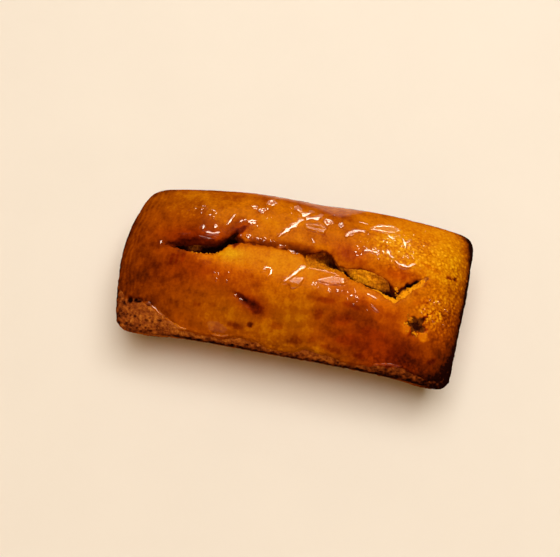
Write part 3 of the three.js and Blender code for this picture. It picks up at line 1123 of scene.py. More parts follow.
@dataclass
class CakeBody:
    """The baked cake: crumb in the split, porous wall, and crust under the glaze."""

    crown: CrownForm
    split: SplitForm
    browning: Browning
    name: str = "cake_body"
    voxel: float = 0.4
    settle_rounds: int = 30
    torn_rounds: int = 3
    margin_rounds: int = 8
    margin_fade: Range = (0.02, 0.3)
    foot: Range = (0.05, 0.6)
    tear_from: float = 0.3
    tear_full: float = 0.8
    lump: float = 0.42
    lump_size: float = 1.9
    grit: float = 0.2
    grit_size: float = 0.75
    pore_spacing: float = 1.15
    pore_reach: float = 0.5
    pore_floor: float = 0.1
    pore_share: Range = (0.2, 0.9)
    pore_depth: float = 0.3
    wall_lump: float = 0.22
    wall_lump_size: float = 1.2
    wall_fading: float = 0.3
    rough_foot: Range = (0.1, 1.2)
    lip_rounds: int = 4
    rag: float = 0.5
    rag_size: float = 1.5
    # Painted shade in the split, by place along the bar: the share of the split's depth where it starts, and
    # where it is full.
    shade_from: Table = (
        (-38, 0.5, 1.0), (-34, 0.15, 0.5), (-32, 0.2, 0.6), (-29.5, 0.6, 1.1), (-27.5, 0.6, 1.1),
        (-26, 0.2, 0.55), (-22, 0.15, 0.5), (-19, 0.15, 0.45), (-14, 0.4, 0.8), (4, 0.8, 1.15),
        (9, 0.78, 1.1), (11, 0.75, 1.1), (16, 0.75, 1.15), (24, 0.6, 1.1), (28, 0.3, 0.7), (30, 0.15, 0.5),
        (36, 0.1, 0.4),
    )
    tear_shade_from: Range = (0.6, 1.3)
    least_depth: float = 1.5
    # Width of the crevice along the split's near lip, by place along the bar, where a line of painted shade
    # lies.
    crevice: Table = ((12, 0.0), (14, 0.9), (26, 0.9), (28.5, 0.0))
    least_crevice: float = 0.01
    crevice_fade: Range = (1.0, 0.5)
    crevice_from: Range = (0.5, 1.1)
    calm: Patch = Patch(21.5, 1.5, 6, 3)
    bare_rounds: int = 40
    bare_torn: Range = (0.01, 0.05)
    hem_rounds: int = 6
    hem_fade: float = 0.15
    under_glaze: float = 0.08
    shallowest: float = 0.1
    deepest: float = 0.5
    dented: Range = (14.5, 15.5)
    dents: tuple[Patch, ...] = (
        Patch(-10.5, -12.2, 4.6, 1.3, -24, 0.6),
        Patch(-12.6, -18.4, 1.4, 0.7, 0, 0.3),
        Patch(-8.6, -17.6, 0.9, 0.6, 0, 0.3),
        Patch(3.3, -20.2, 1.6, 0.9, 0, 0.35),
        Patch(42, 5.8, 0.6, 0.5, 0, 0.4),
        Patch(44, 6.1, 0.5, 0.4, 0, 0.4),
        Patch(-42.8, -15.3, 0.6, 0.6, 0, 0.5),
        Patch(-41.0, -15.6, 0.6, 0.6, 0, 0.5),
        Patch(-39.8, -15.4, 0.6, 0.6, 0, 0.5),
        Patch(40.6, -18.4, 1.2, 0.6, 40, 0.4),
    )
    skin: Skin = field(init=False)
    gap: np.ndarray = field(init=False)
    torn: np.ndarray = field(init=False)
    surface: BVHTree = field(init=False)

    def shape(self) -> None:
        """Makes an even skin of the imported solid, smooth where it is whole and ragged where it is torn."""
        self.skin = self.even_skin()
        self.measure()
        loose = 1.0 - ease(*self.margin_fade, self.skin.spread(self.torn, self.margin_rounds))
        standing = ease(*self.foot, self.skin.points[:, 2])
        self.skin.relax(self.settle_rounds, loose * standing)
        self.skin.relax(self.torn_rounds, (1.0 - loose) * standing)
        self.measure()
        self.tatter()
        self.dent()
        self.measure()

    def tatter(self) -> None:
        """Makes the torn lips ragged."""
        lip = self.skin.spread(self.torn, self.lip_rounds)
        edge = 4.0 * lip * (1.0 - lip)  # 1 on the lip and 0 to both sides of it
        push = self.rag * edge * (1.0 - self.calm.share(self.skin.points))
        self.skin.points += Grain.drift(self.skin.points, self.rag_size, Pattern.PLAIN) * push[:, None]

    def dent(self) -> None:
        """Sinks the crown's small dents."""
        points = self.skin.points
        points[:, 2] -= heaped(self.dents, points) * ease(*self.dented, points[:, 2])

    def even_skin(self) -> Skin:
        """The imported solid's surface as small even faces, in millimetres.

        Returns:
            The surface, as arrays.
        """
        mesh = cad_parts[CAKE_NODE].data.copy()
        mesh.transform(Matrix.Scale(1.0 / MM, 4))
        blank = bpy.data.objects.new("blank", mesh)
        bpy.context.scene.collection.objects.link(blank)
        remesh = blank.modifiers.new("even", "REMESH")
        remesh.mode = "VOXEL"
        remesh.voxel_size = self.voxel
        even = bpy.data.meshes.new_from_object(blank.evaluated_get(bpy.context.evaluated_depsgraph_get()))
        points = np.empty(len(even.vertices) * 3)
        even.vertices.foreach_get("co", points)
        corners = np.empty(len(even.loops), np.int32)
        even.loops.foreach_get("vertex_index", corners)
        bpy.data.objects.remove(blank)
        bpy.data.meshes.remove(mesh)
        bpy.data.meshes.remove(even)
        return Skin(points.reshape(-1, 3), corners.reshape(-1, 4))

    def below_crown(self, points: np.ndarray) -> np.ndarray:
        """How far each point in or near the split and the tear lies below the unsplit crown."""
        return (self.crown.height(points) - points[:, 2]) * self.split.zone(points)

    def measure(self) -> None:
        """Finds how far each point lies below the unsplit crown, and so where the crust is torn."""
        self.gap = self.below_crown(self.skin.points)
        self.torn = ease(self.tear_from, self.tear_full, self.gap)

    def pits(self) -> np.ndarray:
        """How far into a pore each point lies, 1 at its middle."""
        distance, draw = Grain.cells(self.skin.points, self.pore_spacing, Pattern.PORES)
        return ease(self.pore_reach, self.pore_floor, distance) * ease(*self.pore_share, draw)

    def crumb(self) -> np.ndarray:
        """Works out the torn crumb's relief.

        Returns:
            How far it stands out at each point.
        """
        points = self.skin.points
        lumps = self.lump * Grain.clouds(points, self.lump_size, Pattern.CRUMB_LUMPS)
        return lumps + self.grit * Grain.clouds(points, self.grit_size, Pattern.CRUMB_GRIT, layers=2)

    def painted_depth_shade(self) -> np.ndarray:
        """Works out the painted shade in the split's depths and in the crevice along its near lip.

        Returns:
            One value for each point, from 0 to 1.
        """
        points = self.skin.points
        dark = np.array([lengthwise(points, self.shade_from, column) for column in (1, 2)])
        dark += (np.array(self.tear_shade_from)[:, None] - dark) * self.split.in_tear(points)
        depth_shade = ease(*dark, self.gap / np.maximum(self.split.depth(points), self.least_depth))
        narrow = np.maximum(lengthwise(points, self.crevice), self.least_crevice)
        aside = np.abs(self.split.from_near(points) / narrow - 0.5)
        inside = ease(*self.crevice_fade, aside) * ease(*self.crevice_from, self.gap)
        return np.maximum(depth_shade, inside)

    def build(self, glazed: np.ndarray) -> bpy.types.Object:
        """Roughens the bare surfaces and makes the piece.

        Args:
            glazed: 1 where the glaze covers a point, 0 where it is bare.

        Returns:
            The cake's body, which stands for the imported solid.
        """
        points = self.skin.points
        bare = 1.0 - glazed
        pit = self.pits()
        bumps = Grain.clouds(points, self.wall_lump_size, Pattern.WALL_LUMPS)
        wall = self.wall_lump * bumps - self.pore_depth * pit
        rough = wall * (1.0 - self.torn) + self.crumb() * self.torn
        hem = self.skin.spread(glazed, self.hem_rounds)
        rough = np.maximum(rough, -self.shallowest - self.deepest * ease(self.hem_fade, 0.0, hem))
        standing = ease(*self.rough_foot, points[:, 2])
        lift = rough * bare * standing - self.under_glaze * glazed
        moved = points + self.skin.normals() * lift[:, None]
        moved[:, 2] = np.maximum(moved[:, 2], 0.0)
        self.surface = BVHTree.FromPolygons(moved.tolist(), self.skin.faces.tolist())
        torn_near = ease(*self.bare_torn, self.skin.spread(self.torn, self.bare_rounds))
        torn = np.maximum(self.torn, torn_near * bare)
        toast = self.browning.toast(points, glazed) - self.wall_fading * bumps * bare
        values = {
            "toast": toast + (self.browning.crumb(points, self.split) - toast) * torn,
            "torn": torn,
            # painted shade in the split's depths and in its near crevice
            "depth_shade": self.painted_depth_shade(),
            "pit": pit * bare,
        }
        piece = make_piece(self.name, moved, self.skin.faces.tolist(), values, CrumbFinish().material())
        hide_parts(CAKE_NODE)
        return piece


@dataclass
class GlazeCoat:
    """The thin glaze over the crown, down to its lower edge and in over the lips of the split."""

    cake: CakeBody
    name: str = "glaze"
    thickness: float = 0.24
    bead: float = 0.24
    bead_place: float = 0.5
    bead_width: float = 0.34
    tuck: float = 0.3
    torn_tuck: float = 0.6
    backing: float = 0.15
    hem: float = 0.7
    wrap: Table = (
        (-40, 0.6), (-34, 2.0), (-30, 2.4), (-26, 1.8), (-22, 1.8), (-20, 1.0), (-17, 1.0), (-15.5, 4.0),
        (1, 4.0), (3, 1.2), (8, 0.8), (14, 0.5), (20, 0.5), (26, 0.5), (27.4, 2.4), (28.3, 2.4), (29, 0.6),
        (38, 0.6),
    )
    tear_wrap: float = 0.4
    bare_lip: Table = (
        (2.5, 0), (4, 0.6), (10, 0.4), (13, 0), (20, 0), (24, 0.6), (27, 1.3), (28.8, 2.0), (31, 3.4),
        (34, 2.8), (37, 0),
    )
    least_lip: float = 0.05
    lip_stray: float = 2.2
    wrap_stray: float = 0.4
    glazed_from: Range = (-0.2, 0.3)
    waver: float = 0.4
    waver_size: float = 4.0
    ripple: float = 0.06
    ripple_size: float = 2.6
    swell: float = 0.15
    swell_size: float = 8.0
    relief_from: Range = (0.3, 1.6)
    wetness: float = 0.004
    # Toast that the glaze turns to where it lies below the crown, and the depths over which it does: partly
    # thicker pooled glaze, partly painted shade in the crease.
    pooled_and_shaded: float = 0.83
    pooled_and_shaded_from: Range = (0.1, 0.8)
    edge: Table = (
        (-180, 14.2), (-165, 14.4), (-156, 14.8), (-150.6, 15.6), (-145.5, 16.7), (-144, 17.4), (-140, 17.9),
        (-138, 18.2), (-132.8, 18.0), (-129.5, 17.7), (-126.3, 17.3), (-122.8, 16.5), (-120, 16.5),
        (-115, 16.2), (-110, 16.4), (-107, 17.1), (-103, 17.2), (-96, 16.6), (-89.5, 15.7), (-85.3, 16.0),
        (-82.4, 17.0), (-80.5, 17.6), (-76, 17.1), (-72, 16.8), (-69, 16.3), (-67, 15.8), (-60, 16.6),
        (-55, 17.2), (-52.2, 17.2), (-50.8, 16.5), (-49, 15.7), (-40, 15.0), (-30, 14.6), (0, 14.2),
        (30, 14.2), (60, 14.0), (90, 13.9), (120, 14.0), (150, 14.1), (180, 14.2),
    )
    far_sheen: float = 0.62
    far_sheen_fade: float = 2.0
    far_sheen_from: Table = (
        (-32, 24.5), (-14, 22.4), (-2, 21.4), (3, 20), (7, 18.4), (10, 18), (12.5, 19.4), (15, 21.4),
        (18, 24),
    )
    porous_patches: tuple[Patch, ...] = (
        Patch(28, 11, 9, 6, 0, 1.0),
        Patch(42, 6, 7, 18, 0, 0.5),
        Patch(39, -6, 4, 4, 0, 0.8),
        Patch(-30, 14, 10, 4, 0, 0.22),
        Patch(-6, -21.5, 18, 2, 0, 0.25),
        Patch(30, -21, 10, 2, 0, 0.25),
    )
    cover: np.ndarray = field(init=False)
    top: BVHTree = field(init=False)

    def wander(self, points: np.ndarray) -> np.ndarray:
        """How far the glaze's edges stray at each point."""
        return self.waver * Grain.clouds(points, self.waver_size, Pattern.GLAZE_EDGE)

    def above_edge(self, points: np.ndarray) -> np.ndarray:
        """Height of each point above the glaze's lower edge."""
        return points[:, 2] - around(points, self.edge) + self.wander(points)

    def lay(self) -> np.ndarray:
        """Finds where the glaze lies.

        Returns:
            For each point of the cake's skin, 1 under the glaze and 0 on bare crust.
        """
        split = self.cake.split
        points = self.cake.skin.points
        wander = self.wander(points)
        tear = split.in_tear(points)
        wrap = lengthwise(points, self.wrap) * (1.0 - tear) + self.tear_wrap * tear
        inside = wrap - self.cake.gap + self.wrap_stray * wander
        bare = lengthwise(points, self.bare_lip)
        beside = -split.from_near(points) - bare * (1.0 + self.lip_stray * wander)
        lip = np.where(bare > self.least_lip, beside, inside)
        near = split.near_side(points) * (1.0 - tear)
        self.cover = np.minimum(self.above_edge(points), inside + near * np.minimum(lip - inside, 0.0))
        return ease(*self.glazed_from, self.cover)

    def relief(self, points: np.ndarray) -> np.ndarray:
        """How much thicker the glaze is where it gathered."""
        ripple = self.ripple * Grain.clouds(points, self.ripple_size, Pattern.RIPPLES, layers=2)
        return ripple + self.swell * Grain.clouds(points, self.swell_size, Pattern.SWELLS, layers=2)

    def levels(self, used: np.ndarray) -> tuple[np.ndarray, np.ndarray]:
        """Works out where the two faces of the coat lie.

        Args:
            used: Numbers of the skin's points that it covers.

        Returns:
            At each of them, how far the outer face stands above the crust and the inner face lies below.
        """
        points, cover = self.cake.skin.points[used], self.cover[used]
        body = ease(0.0, self.bead_place, cover)
        rise = np.exp(-((self.above_edge(points) - self.bead_place) / self.bead_width) ** 2)
        relief = self.relief(points) * ease(*self.relief_from, cover)
        sunk = (self.tuck + self.torn_tuck * self.cake.torn[used]) * ease(0.0, -self.hem, cover)
        lift = self.thickness * body + self.bead * rise * body + relief - sunk
        return lift, np.maximum(sunk, self.tuck) + self.backing

    @staticmethod
    def rim(faces: np.ndarray) -> np.ndarray:
        """Finds the edges of an open skin.

        Args:
            faces: The skin's faces.

        Returns:
            Both ends of each edge that only one face has.
        """
        edges = np.column_stack([faces.ravel(), np.roll(faces, -1, axis=1).ravel()]).tolist()
        known = set(map(tuple, edges))
        return np.array([(a, b) for a, b in edges if (b, a) not in known])

    def build(self) -> bpy.types.Object:
        """Makes the glaze as a closed skin whose edge is tucked into the crust.

        Returns:
            The glaze piece.
        """
        skin = self.cake.skin
        covered = skin.faces[(self.cover[skin.faces] > -self.hem).all(axis=1)]
        used, compact = np.unique(covered, return_inverse=True)
        faces = compact.reshape(-1, 4)
        points, out = skin.points[used], skin.normals()[used]
        lift, depth = self.levels(used)
        outer = points + out * lift[:, None]
        inner = points - out * depth[:, None]
        count = len(points)
        start, end = self.rim(faces).T
        wall = np.column_stack([end, start, start + count, end + count])
        closed = np.vstack([faces, faces[:, ::-1] + count, wall])
        self.top = BVHTree.FromPolygons(outer.tolist(), faces.tolist())
        values = self.values(np.vstack([points, points]))
        finish = GlazeFinish(GlazeDepth.THIN).material()
        return make_piece(self.name, np.vstack([outer, inner]), closed.tolist(), values, finish)

    def values(self, points: np.ndarray) -> dict[str, np.ndarray]:
        """Works out what the finish reads.

        Args:
            points: Places on the glaze.

        Returns:
            Named values, each with one for each point.
        """
        cake = self.cake
        toast = cake.browning.toast(points, np.ones(len(points)))
        beyond = points[:, 1] - lengthwise(points, self.far_sheen_from)
        return {
            # darker below the crown: thicker pooled glaze, and painted shade in the crease
            "toast": toast + (self.pooled_and_shaded - toast) * ease(*self.pooled_and_shaded_from, cake.below_crown(points)),
            "wet": self.wetness + self.far_sheen * ease(0.0, self.far_sheen_fade, beyond),
            "ruddy": cake.browning.ruddiness(points),
            "porous": np.clip(heaped(self.porous_patches, points), 0, 1),
        }


@dataclass(frozen=True)
class Run:
    """A string of thick glaze along a path, tapered at both ends."""

    path: tuple[tuple[float, float], ...]
    width: float = 0.6
    rise: float = 0.3
    sheen: float = 1.0
    # how much paler the crust under the run is drawn: a painted highlight
    painted_highlight: float = 0.0
    closed: ClassVar[bool] = False
    columns: ClassVar[int] = 13
    step: ClassVar[float] = 0.15
    least_steps: ClassVar[int] = 12
    soften_rounds: ClassVar[int] = 6
    end_bluntness: ClassVar[int] = 5
    end_drying: ClassVar[int] = 3
    least_width: ClassVar[float] = 0.05
    wander: ClassVar[float] = 0.25
    wander_rate: ClassVar[float] = 2.1

    def grid(self) -> tuple[np.ndarray, np.ndarray, np.ndarray]:
        """Lays out the run.

        Returns:
            Rows of places across the run, one row for each step along it, with the height and wetness there.
        """
        corners = np.array(self.path, float)
        travel = np.concatenate([[0.0], np.cumsum(np.linalg.norm(np.diff(corners, axis=0), axis=1))])
        length = travel[-1]
        share = np.linspace(0.0, 1.0, max(self.least_steps, int(length / self.step)))
        line = np.column_stack([np.interp(share * length, travel, axis) for axis in corners.T])
        for _ in range(self.soften_rounds):
            line[1:-1] = 0.5 * line[1:-1] + 0.25 * (line[:-2] + line[2:])
        way = np.gradient(line, axis=0)
        aside = np.column_stack([-way[:, 1], way[:, 0]]) / np.linalg.norm(way, axis=1)[:, None]
        taper = np.sqrt(np.clip(1.0 - np.abs(2.0 * share - 1.0) ** self.end_bluntness, 0.0, 1.0))
        across = np.linspace(-1.0, 1.0, self.columns)
        uneven = 1.0 + self.wander * np.sin(share * length * self.wander_rate + self.path[0][0])
        half = self.width * uneven * np.maximum(taper, self.least_width)
        places = line[:, None] + aside[:, None] * (half[:, None] * across)[..., None]
        height = self.rise * taper[:, None] * (1.0 - across ** 2)
        wet = self.sheen * taper[:, None] ** self.end_drying
        return places, height, wet * np.ones_like(across)


@dataclass(frozen=True)
class Puddle:
    """A flat-topped puddle, or with a hollow middle a bubble that set in the glaze."""

    x: float
    y: float
    along: float
    across: float
    turn: float = 0.0
    rise: float = 0.3
    hollow: float = 0.0
    sheen: float = 1.0
    rim: float = 1.0
    flatness: float = 4.0
    columns: int = 40
    painted_highlight: ClassVar[float] = 0.0
    closed: ClassVar[bool] = True
    rings: ClassVar[int] = 12
    innermost: ClassVar[float] = 0.02
    lobes: ClassVar[Table] = ((3, 0.10), (5, 0.06))  # how many, and how far they stand out
    hollow_reach: ClassVar[float] = 0.5
    hollow_edge: ClassVar[int] = 4
    rim_from: ClassVar[Range] = (0.6, 0.85)

    def grid(self) -> tuple[np.ndarray, np.ndarray, np.ndarray]:
        """Lays out the puddle.

        Returns:
            Rings of places from the middle out, with the height and wetness at each place.
        """
        radius = np.linspace(self.innermost, 1.0, self.rings)[:, None]
        angle = np.linspace(0.0, 2.0 * math.pi, self.columns, endpoint=False)
        (few, wide), (many, slight) = self.lobes
        outline = 1.0 + wide * np.sin(few * angle + self.x) + slight * np.sin(many * angle + self.y)
        along = self.along * radius * outline * np.cos(angle)
        across = self.across * radius * outline * np.sin(angle)
        places = np.stack(turned(self.x, self.y, self.turn, along, across), axis=-1)
        sunk = self.hollow * np.exp(-((radius / self.hollow_reach) ** self.hollow_edge))
        dome = (1.0 - radius ** self.flatness) - sunk
        flat = np.ones_like(angle)
        wet = self.sheen + (self.rim - self.sheen) * ease(*self.rim_from, radius)
        return places, self.rise * dome * flat, wet * flat


@dataclass(frozen=True)
class Sprinkle:
    """Tiny beads of glaze strewn over an oval place: how many, and their usual size."""

    place: Patch
    count: int
    size: float
    spread: ClassVar[float] = 0.6
    sizes: ClassVar[Range] = (0.6, 1.5)
    length: ClassVar[float] = 1.3
    width: ClassVar[float] = 0.8
    rise: ClassVar[float] = 0.5
    half_turn: ClassVar[float] = 180.0
    columns: ClassVar[int] = 14

    def beads(self, draw: np.random.Generator) -> list[Puddle]:
        """Strews the beads, each with its own size and turn.

        Args:
            draw: Where the random numbers come from.

        Returns:
            The beads.
        """
        found = []
        oval = self.place
        for _ in range(self.count):
            along, across = draw.normal(0.0, self.spread, 2) * (oval.along, oval.across)
            size = self.size * draw.uniform(*self.sizes)
            x, y = turned(oval.x, oval.y, oval.turn, along, across)
            turn = draw.uniform(0.0, self.half_turn)
            length, width, rise = size * self.length, size * self.width, self.rise * size
            found.append(Puddle(x, y, length, width, turn, rise, columns=self.columns))
        return found


@dataclass
class GlazeDrops:
    """Thick glaze that stands on the thin coat: strings, puddles and set bubbles."""

    coat: GlazeCoat
    name: str = "glaze_drops"
    sink: float = 0.3
    edge_sink: float = 0.06
    runs: tuple[Run, ...] = (
        Run(((-6.4, 7.2), (-5, 9), (-3, 11.4), (-1.2, 13.6), (0, 16)), 1.1, 0.4),
        Run(((-2.7, 21), (-2, 18.6), (-0.3, 17.1), (1.3, 17.6), (2.2, 19.6)), 1.05, 0.45),
        Run(((0, 15.9), (2, 15.9), (4, 16.6), (4.9, 18.8)), 1.05, 0.42),
        Run(((-20.8, 9.2), (-19.8, 11.5), (-19, 14)), 0.6, 0.3),
        Run(((-17.6, 11), (-16.6, 11.9), (-15.4, 12.4)), 0.55, 0.27),
        Run(((-5.5, 5.6), (-4.2, 5.4), (-3, 5.9)), 0.55, 0.27),
        Run(((-2.8, 4.9), (-0.8, 4.5), (1.2, 4.1)), 0.45, 0.22),
        Run(((3.2, 9.4), (4, 8.3), (4.4, 7.4)), 0.5, 0.22),
        Run(((-8.6, -3.6), (-7.2, -1.9), (-5.9, -1.9), (-5.7, -3.6), (-7, -5.6)), 0.7, 0.32),
        Run(((3.8, 1), (2.2, -0.4), (0.4, -2.8), (-2.7, -6.4)), 1.05, 0.4),
        Run(((1.6, -3.6), (2.4, -4.2), (2.9, -4.9), (2.5, -5.8), (1.8, -6.4)), 0.34, 0.18),
        Run(((3.6, 0.2), (5.5, 0.1), (8, 0.1), (10.5, -0.1), (12.5, -0.7)), 0.32, 0.2, 0.8),
        Run(((6.6, -3.4), (9.6, -1.9), (12.6, -0.5)), 0.36, 0.2),
        Run(((6.6, -3.5), (9.8, -4.0), (14.8, -3.2)), 0.34, 0.18),
        Run(((17.2, -3.6), (17.5, -4.5), (18, -5.2)), 0.45, 0.22),
        Run(((20.5, -4.4), (22, -4.9), (24, -5.6)), 0.5, 0.25),
        Run(((22, -7), (23.4, -8.4), (25, -9.2)), 0.45, 0.22),
        Run(((12.4, 11.2), (13.2, 13), (15, 14.3), (18, 14.6)), 0.85, 0.36),
        Run(((15.4, 18.0), (17, 18.0), (18.2, 17.6)), 0.34, 0.18, 0.8),
        Run(((18.9, 15.2), (20.0, 17.0), (21.8, 18.0), (24.4, 18.4), (27.4, 17.6)), 0.8, 0.38),
        Run(((28.0, 14.6), (29, 12.6), (29.3, 10.4)), 0.7, 0.36),
        Run(((29, 12.4), (29.8, 13.6), (30.6, 15)), 0.6, 0.34),
        Run(((24.2, 9.6), (25.2, 7.7), (26.9, 6.6)), 0.8, 0.36),
        Run(((26.6, 6.6), (28.2, 5.4), (30.5, 5.2), (33, 6.8)), 0.8, 0.36),
        Run(((17.6, 7.6), (19.5, 8.2), (22.4, 7.6)), 0.6, 0.27),
        Run(((-26.4, 5.8), (-24, 5.7), (-21.6, 6.4)), 0.7, 0.32),
        Run(((-34.4, 4.9), (-32, 5.0), (-29.6, 5.1)), 0.3, 0.15, 0.4),
        Run(((-28, 4.7), (-25.8, 4.3), (-24, 4.3), (-22.4, 4.9)), 0.3, 0.15, 0.5),
        Run(((31, -3.2), (32.2, -2.6), (33, -3.2)), 0.5, 0.25),
    )
    # Thin beads along the glaze's lower edge: their gloss is real, and the paler crust under them is a
    # painted highlight.
    ridges: tuple[Run, ...] = (
        Run(((-46.2, -13.1), (-44, -14.3), (-42.6, -15.0)), 0.34, 0.2, 0.8, 0.3),
        Run(((-41.7, -15.0), (-40.6, -14.6), (-39.4, -14.8)), 0.34, 0.2, 0.8, 0.3),
        Run(((-39.2, -15.9), (-37, -16.2), (-34.1, -18.3), (-31.9, -19.3)), 0.34, 0.2, 0.7, 0.22),
        Run(((-32.2, -19.2), (-29.8, -20.2), (-27.4, -21.2), (-25.6, -21.3)), 0.32, 0.18, 0.6, 0.2),
        Run(((-19, -21.4), (-16.5, -21.5), (-13.8, -21.0)), 0.3, 0.14, 0.5, 0.15),
        Run(((7, -20.7), (10.6, -21.2), (13.9, -21.5), (16.7, -21.9)), 0.32, 0.18, 0.7, 0.25),
        Run(((25.3, -21.9), (30, -21.4), (33.2, -21.3)), 0.26, 0.13, 0.4, 0.18),
    )
    puddles: tuple[Puddle, ...] = (
        Puddle(4, 12.8, 3.5, 1.9, -5, 0.45, sheen=0.12, rim=0.45, flatness=6),
        Puddle(7, 15.6, 1.6, 1.6, 0, 0.45, 0.8),
        Puddle(10.6, 15.4, 0.9, 1.3, 0, 0.35, 0.6),
        Puddle(-10, 20.2, 1.6, 1.7, 0, 0.45, 0.7),
        Puddle(-12, 16.4, 1.4, 1.2, 30, 0.4, 0.8),
        Puddle(-14.3, 17.4, 1.1, 0.9, 0, 0.35, 0.5),
        Puddle(-14, 11.8, 1.7, 1.2, 10, 0.4),
        Puddle(-14, 6.9, 0.8, 0.9, 0, 0.3, 0.6),
        Puddle(-11.5, 6.7, 0.7, 0.5, 0, 0.25),
        Puddle(1.4, -4.9, 2.4, 1.6, 40, 0.5, sheen=0.16, flatness=10),
        Puddle(11.2, -2.6, 4.2, 1.3, 8, 0.5, sheen=0.15, flatness=10),
        Puddle(-16, 5, 1.4, 1.7, 10, 0.6, sheen=0.02),
        Puddle(-14, -11.0, 0.7, 0.5, 0, 0.3),
        Puddle(-12.4, -11.8, 0.7, 0.5, 0, 0.3),
        Puddle(23.4, 16.6, 4.0, 1.4, 10, 0.45, sheen=0.3, flatness=10),
        Puddle(25.4, 15.0, 2.0, 1.4, 0, 0.3, sheen=0.2),
        Puddle(14, 13, 1.6, 1.1, 30, 0.35, sheen=0.3),
        Puddle(-27, 7.2, 0.9, 1.1, 0, 0.35),
        Puddle(-23.6, 8.2, 0.7, 1.1, 0, 0.3),
        Puddle(-17.5, -19.6, 3.4, 1.6, -8, 0.12, sheen=0.16, rim=0.1),
        Puddle(-37.9, 1.9, 0.5, 0.8, 0, 0.3),
    )
    sprinkles: tuple[Sprinkle, ...] = (
        Sprinkle(Patch(27, 11, 9, 5.5), 50, 0.25),
        Sprinkle(Patch(19, 8, 5, 2), 14, 0.32),
        Sprinkle(Patch(-26, 13.5, 7, 2), 16, 0.32),
        Sprinkle(Patch(-6, 16, 9, 4), 12, 0.34),
        Sprinkle(Patch(-9, 6.6, 5, 0.7), 12, 0.34),
        Sprinkle(Patch(12, -5.2, 6, 0.7, -6), 12, 0.34),
        Sprinkle(Patch(18, -7, 6, 2, -10), 9, 0.3),
        Sprinkle(Patch(-19, -6, 4, 2), 6, 0.34),
        Sprinkle(Patch(40, -4, 4, 5), 12, 0.34),
    )
    seed: int = 11

    def build(self) -> bpy.types.Object:
        """Makes all the drops as one piece of closed lumps.

        Returns:
            The drops piece.
        """
        draw = np.random.default_rng(self.seed)
        beads = [bead for sprinkle in self.sprinkles for bead in sprinkle.beads(draw)]
        points: list[np.ndarray] = []
        wetness: list[np.ndarray] = []
        painted_highlight: list[np.ndarray] = []
        faces: Faces = []
        count = 0
        for mark in (*self.runs, *self.ridges, *self.puddles, *beads):
            places, height, wet = mark.grid()
            if not self.lies(places):
                continue
            lump, sides = self.lump(places, height, mark.closed)
            points.append(lump)
            wetness.append(np.tile(wet.ravel(), 2))
            painted_highlight.append(np.full(len(lump), mark.painted_highlight))
            faces.extend([corner + count for corner in side] for side in sides)
            count += len(lump)
        joined = np.vstack(points)
        values = self.coat.values(joined)
        values["wet"] = np.concatenate(wetness)
        # the paler crust under the edge beads is a painted highlight
        values["toast"] -= np.concatenate(painted_highlight)
        return make_piece(self.name, joined, faces, values, GlazeFinish(GlazeDepth.THICK).material())

    def lies(self, places: np.ndarray) -> bool:
        """Whether there is glaze under every one of the places."""
        starts = (Vector((x, y, OVERHEAD)) for x, y in places.reshape(-1, 2))
        return all(self.coat.top.ray_cast(start, DOWN)[0] for start in starts)

    def lump(self, places: np.ndarray, height: np.ndarray, closed: bool) -> tuple[np.ndarray, Faces]:
        """One drop set on the coat.

        Args:
            places: Rows of places on the plan.
            height: How far each place stands above the coat.
            closed: Whether each row is a ring, with the first about the middle.

        Returns:
            The drop's points and its faces.
        """
        rows, columns = height.shape
        top = self.stand(places.reshape(-1, 2), height.ravel() - self.edge_sink, closed)
        base = self.stand(places.reshape(-1, 2), np.full(height.size, -self.sink), False)
        last = columns if closed else columns - 1
        sides = []
        for row in range(rows - 1):
            for column in range(last):
                ahead = (column + 1) % columns
                a, b = row * columns + column, row * columns + ahead
                sides.append([a, a + columns, b + columns, b])
        if closed:
            sides.append(list(range(columns)))
        skirt = self.border(rows, columns, closed)
        flipped = [[corner + height.size for corner in reversed(side)] for side in sides]
        joins = [[a, b, b + height.size, a + height.size] for a, b in skirt]
        return np.vstack([top, base]), sides + flipped + joins

    @staticmethod
    def border(rows: int, columns: int, closed: bool) -> list[tuple[int, int]]:
        """Finds the outer edges of a drop's top.

        Args:
            rows: How many rows of points it has.
            columns: How many points a row has.
            closed: Whether each row is a ring.

        Returns:
            Both ends of each edge, in order.
        """
        end = (rows - 1) * columns
        if closed:
            return [(end + (column + 1) % columns, end + column) for column in range(columns)]
        loop = [*range(columns), *range(2 * columns - 1, end + columns, columns)]
        loop += [*range(end + columns - 2, end - 1, -1), *range(end - columns, 0, -columns)]
        return list(zip(loop, loop[1:] + loop[:1]))

    def stand(self, places: np.ndarray, height: np.ndarray, level: bool) -> np.ndarray:
        """Sets points on the coat.

        Args:
            places: Where they stand on the plan.
            height: How far each one stands above the coat.
            level: Whether the coat's ripples are evened out under them.

        Returns:
            The points.
        """
        hits = [self.coat.top.ray_cast(Vector((x, y, OVERHEAD)), DOWN) for x, y in places]
        spots, out = (np.array([hit[part] for hit in hits]) for part in (0, 1))
        if level:
            x, y = (places - places.mean(axis=0)).T
            bowl = np.column_stack([np.ones_like(x), x, y, x * x, x * y, y * y])
            spots[:, 2] = bowl @ np.linalg.lstsq(bowl, spots[:, 2], rcond=None)[0]
            out = np.broadcast_to(out.mean(axis=0), out.shape)
        return spots + out * height[:, None]


@dataclass(frozen=True)
class CrumbLine:
    """Crumbs along a torn edge: its ends on the plan, their number, their size and how brown they are."""

    start: tuple[float, float]
    end: tuple[float, float]
    count: int
    size: float = 0.4
    bake: float = 0.1
    stray: float = 0.35


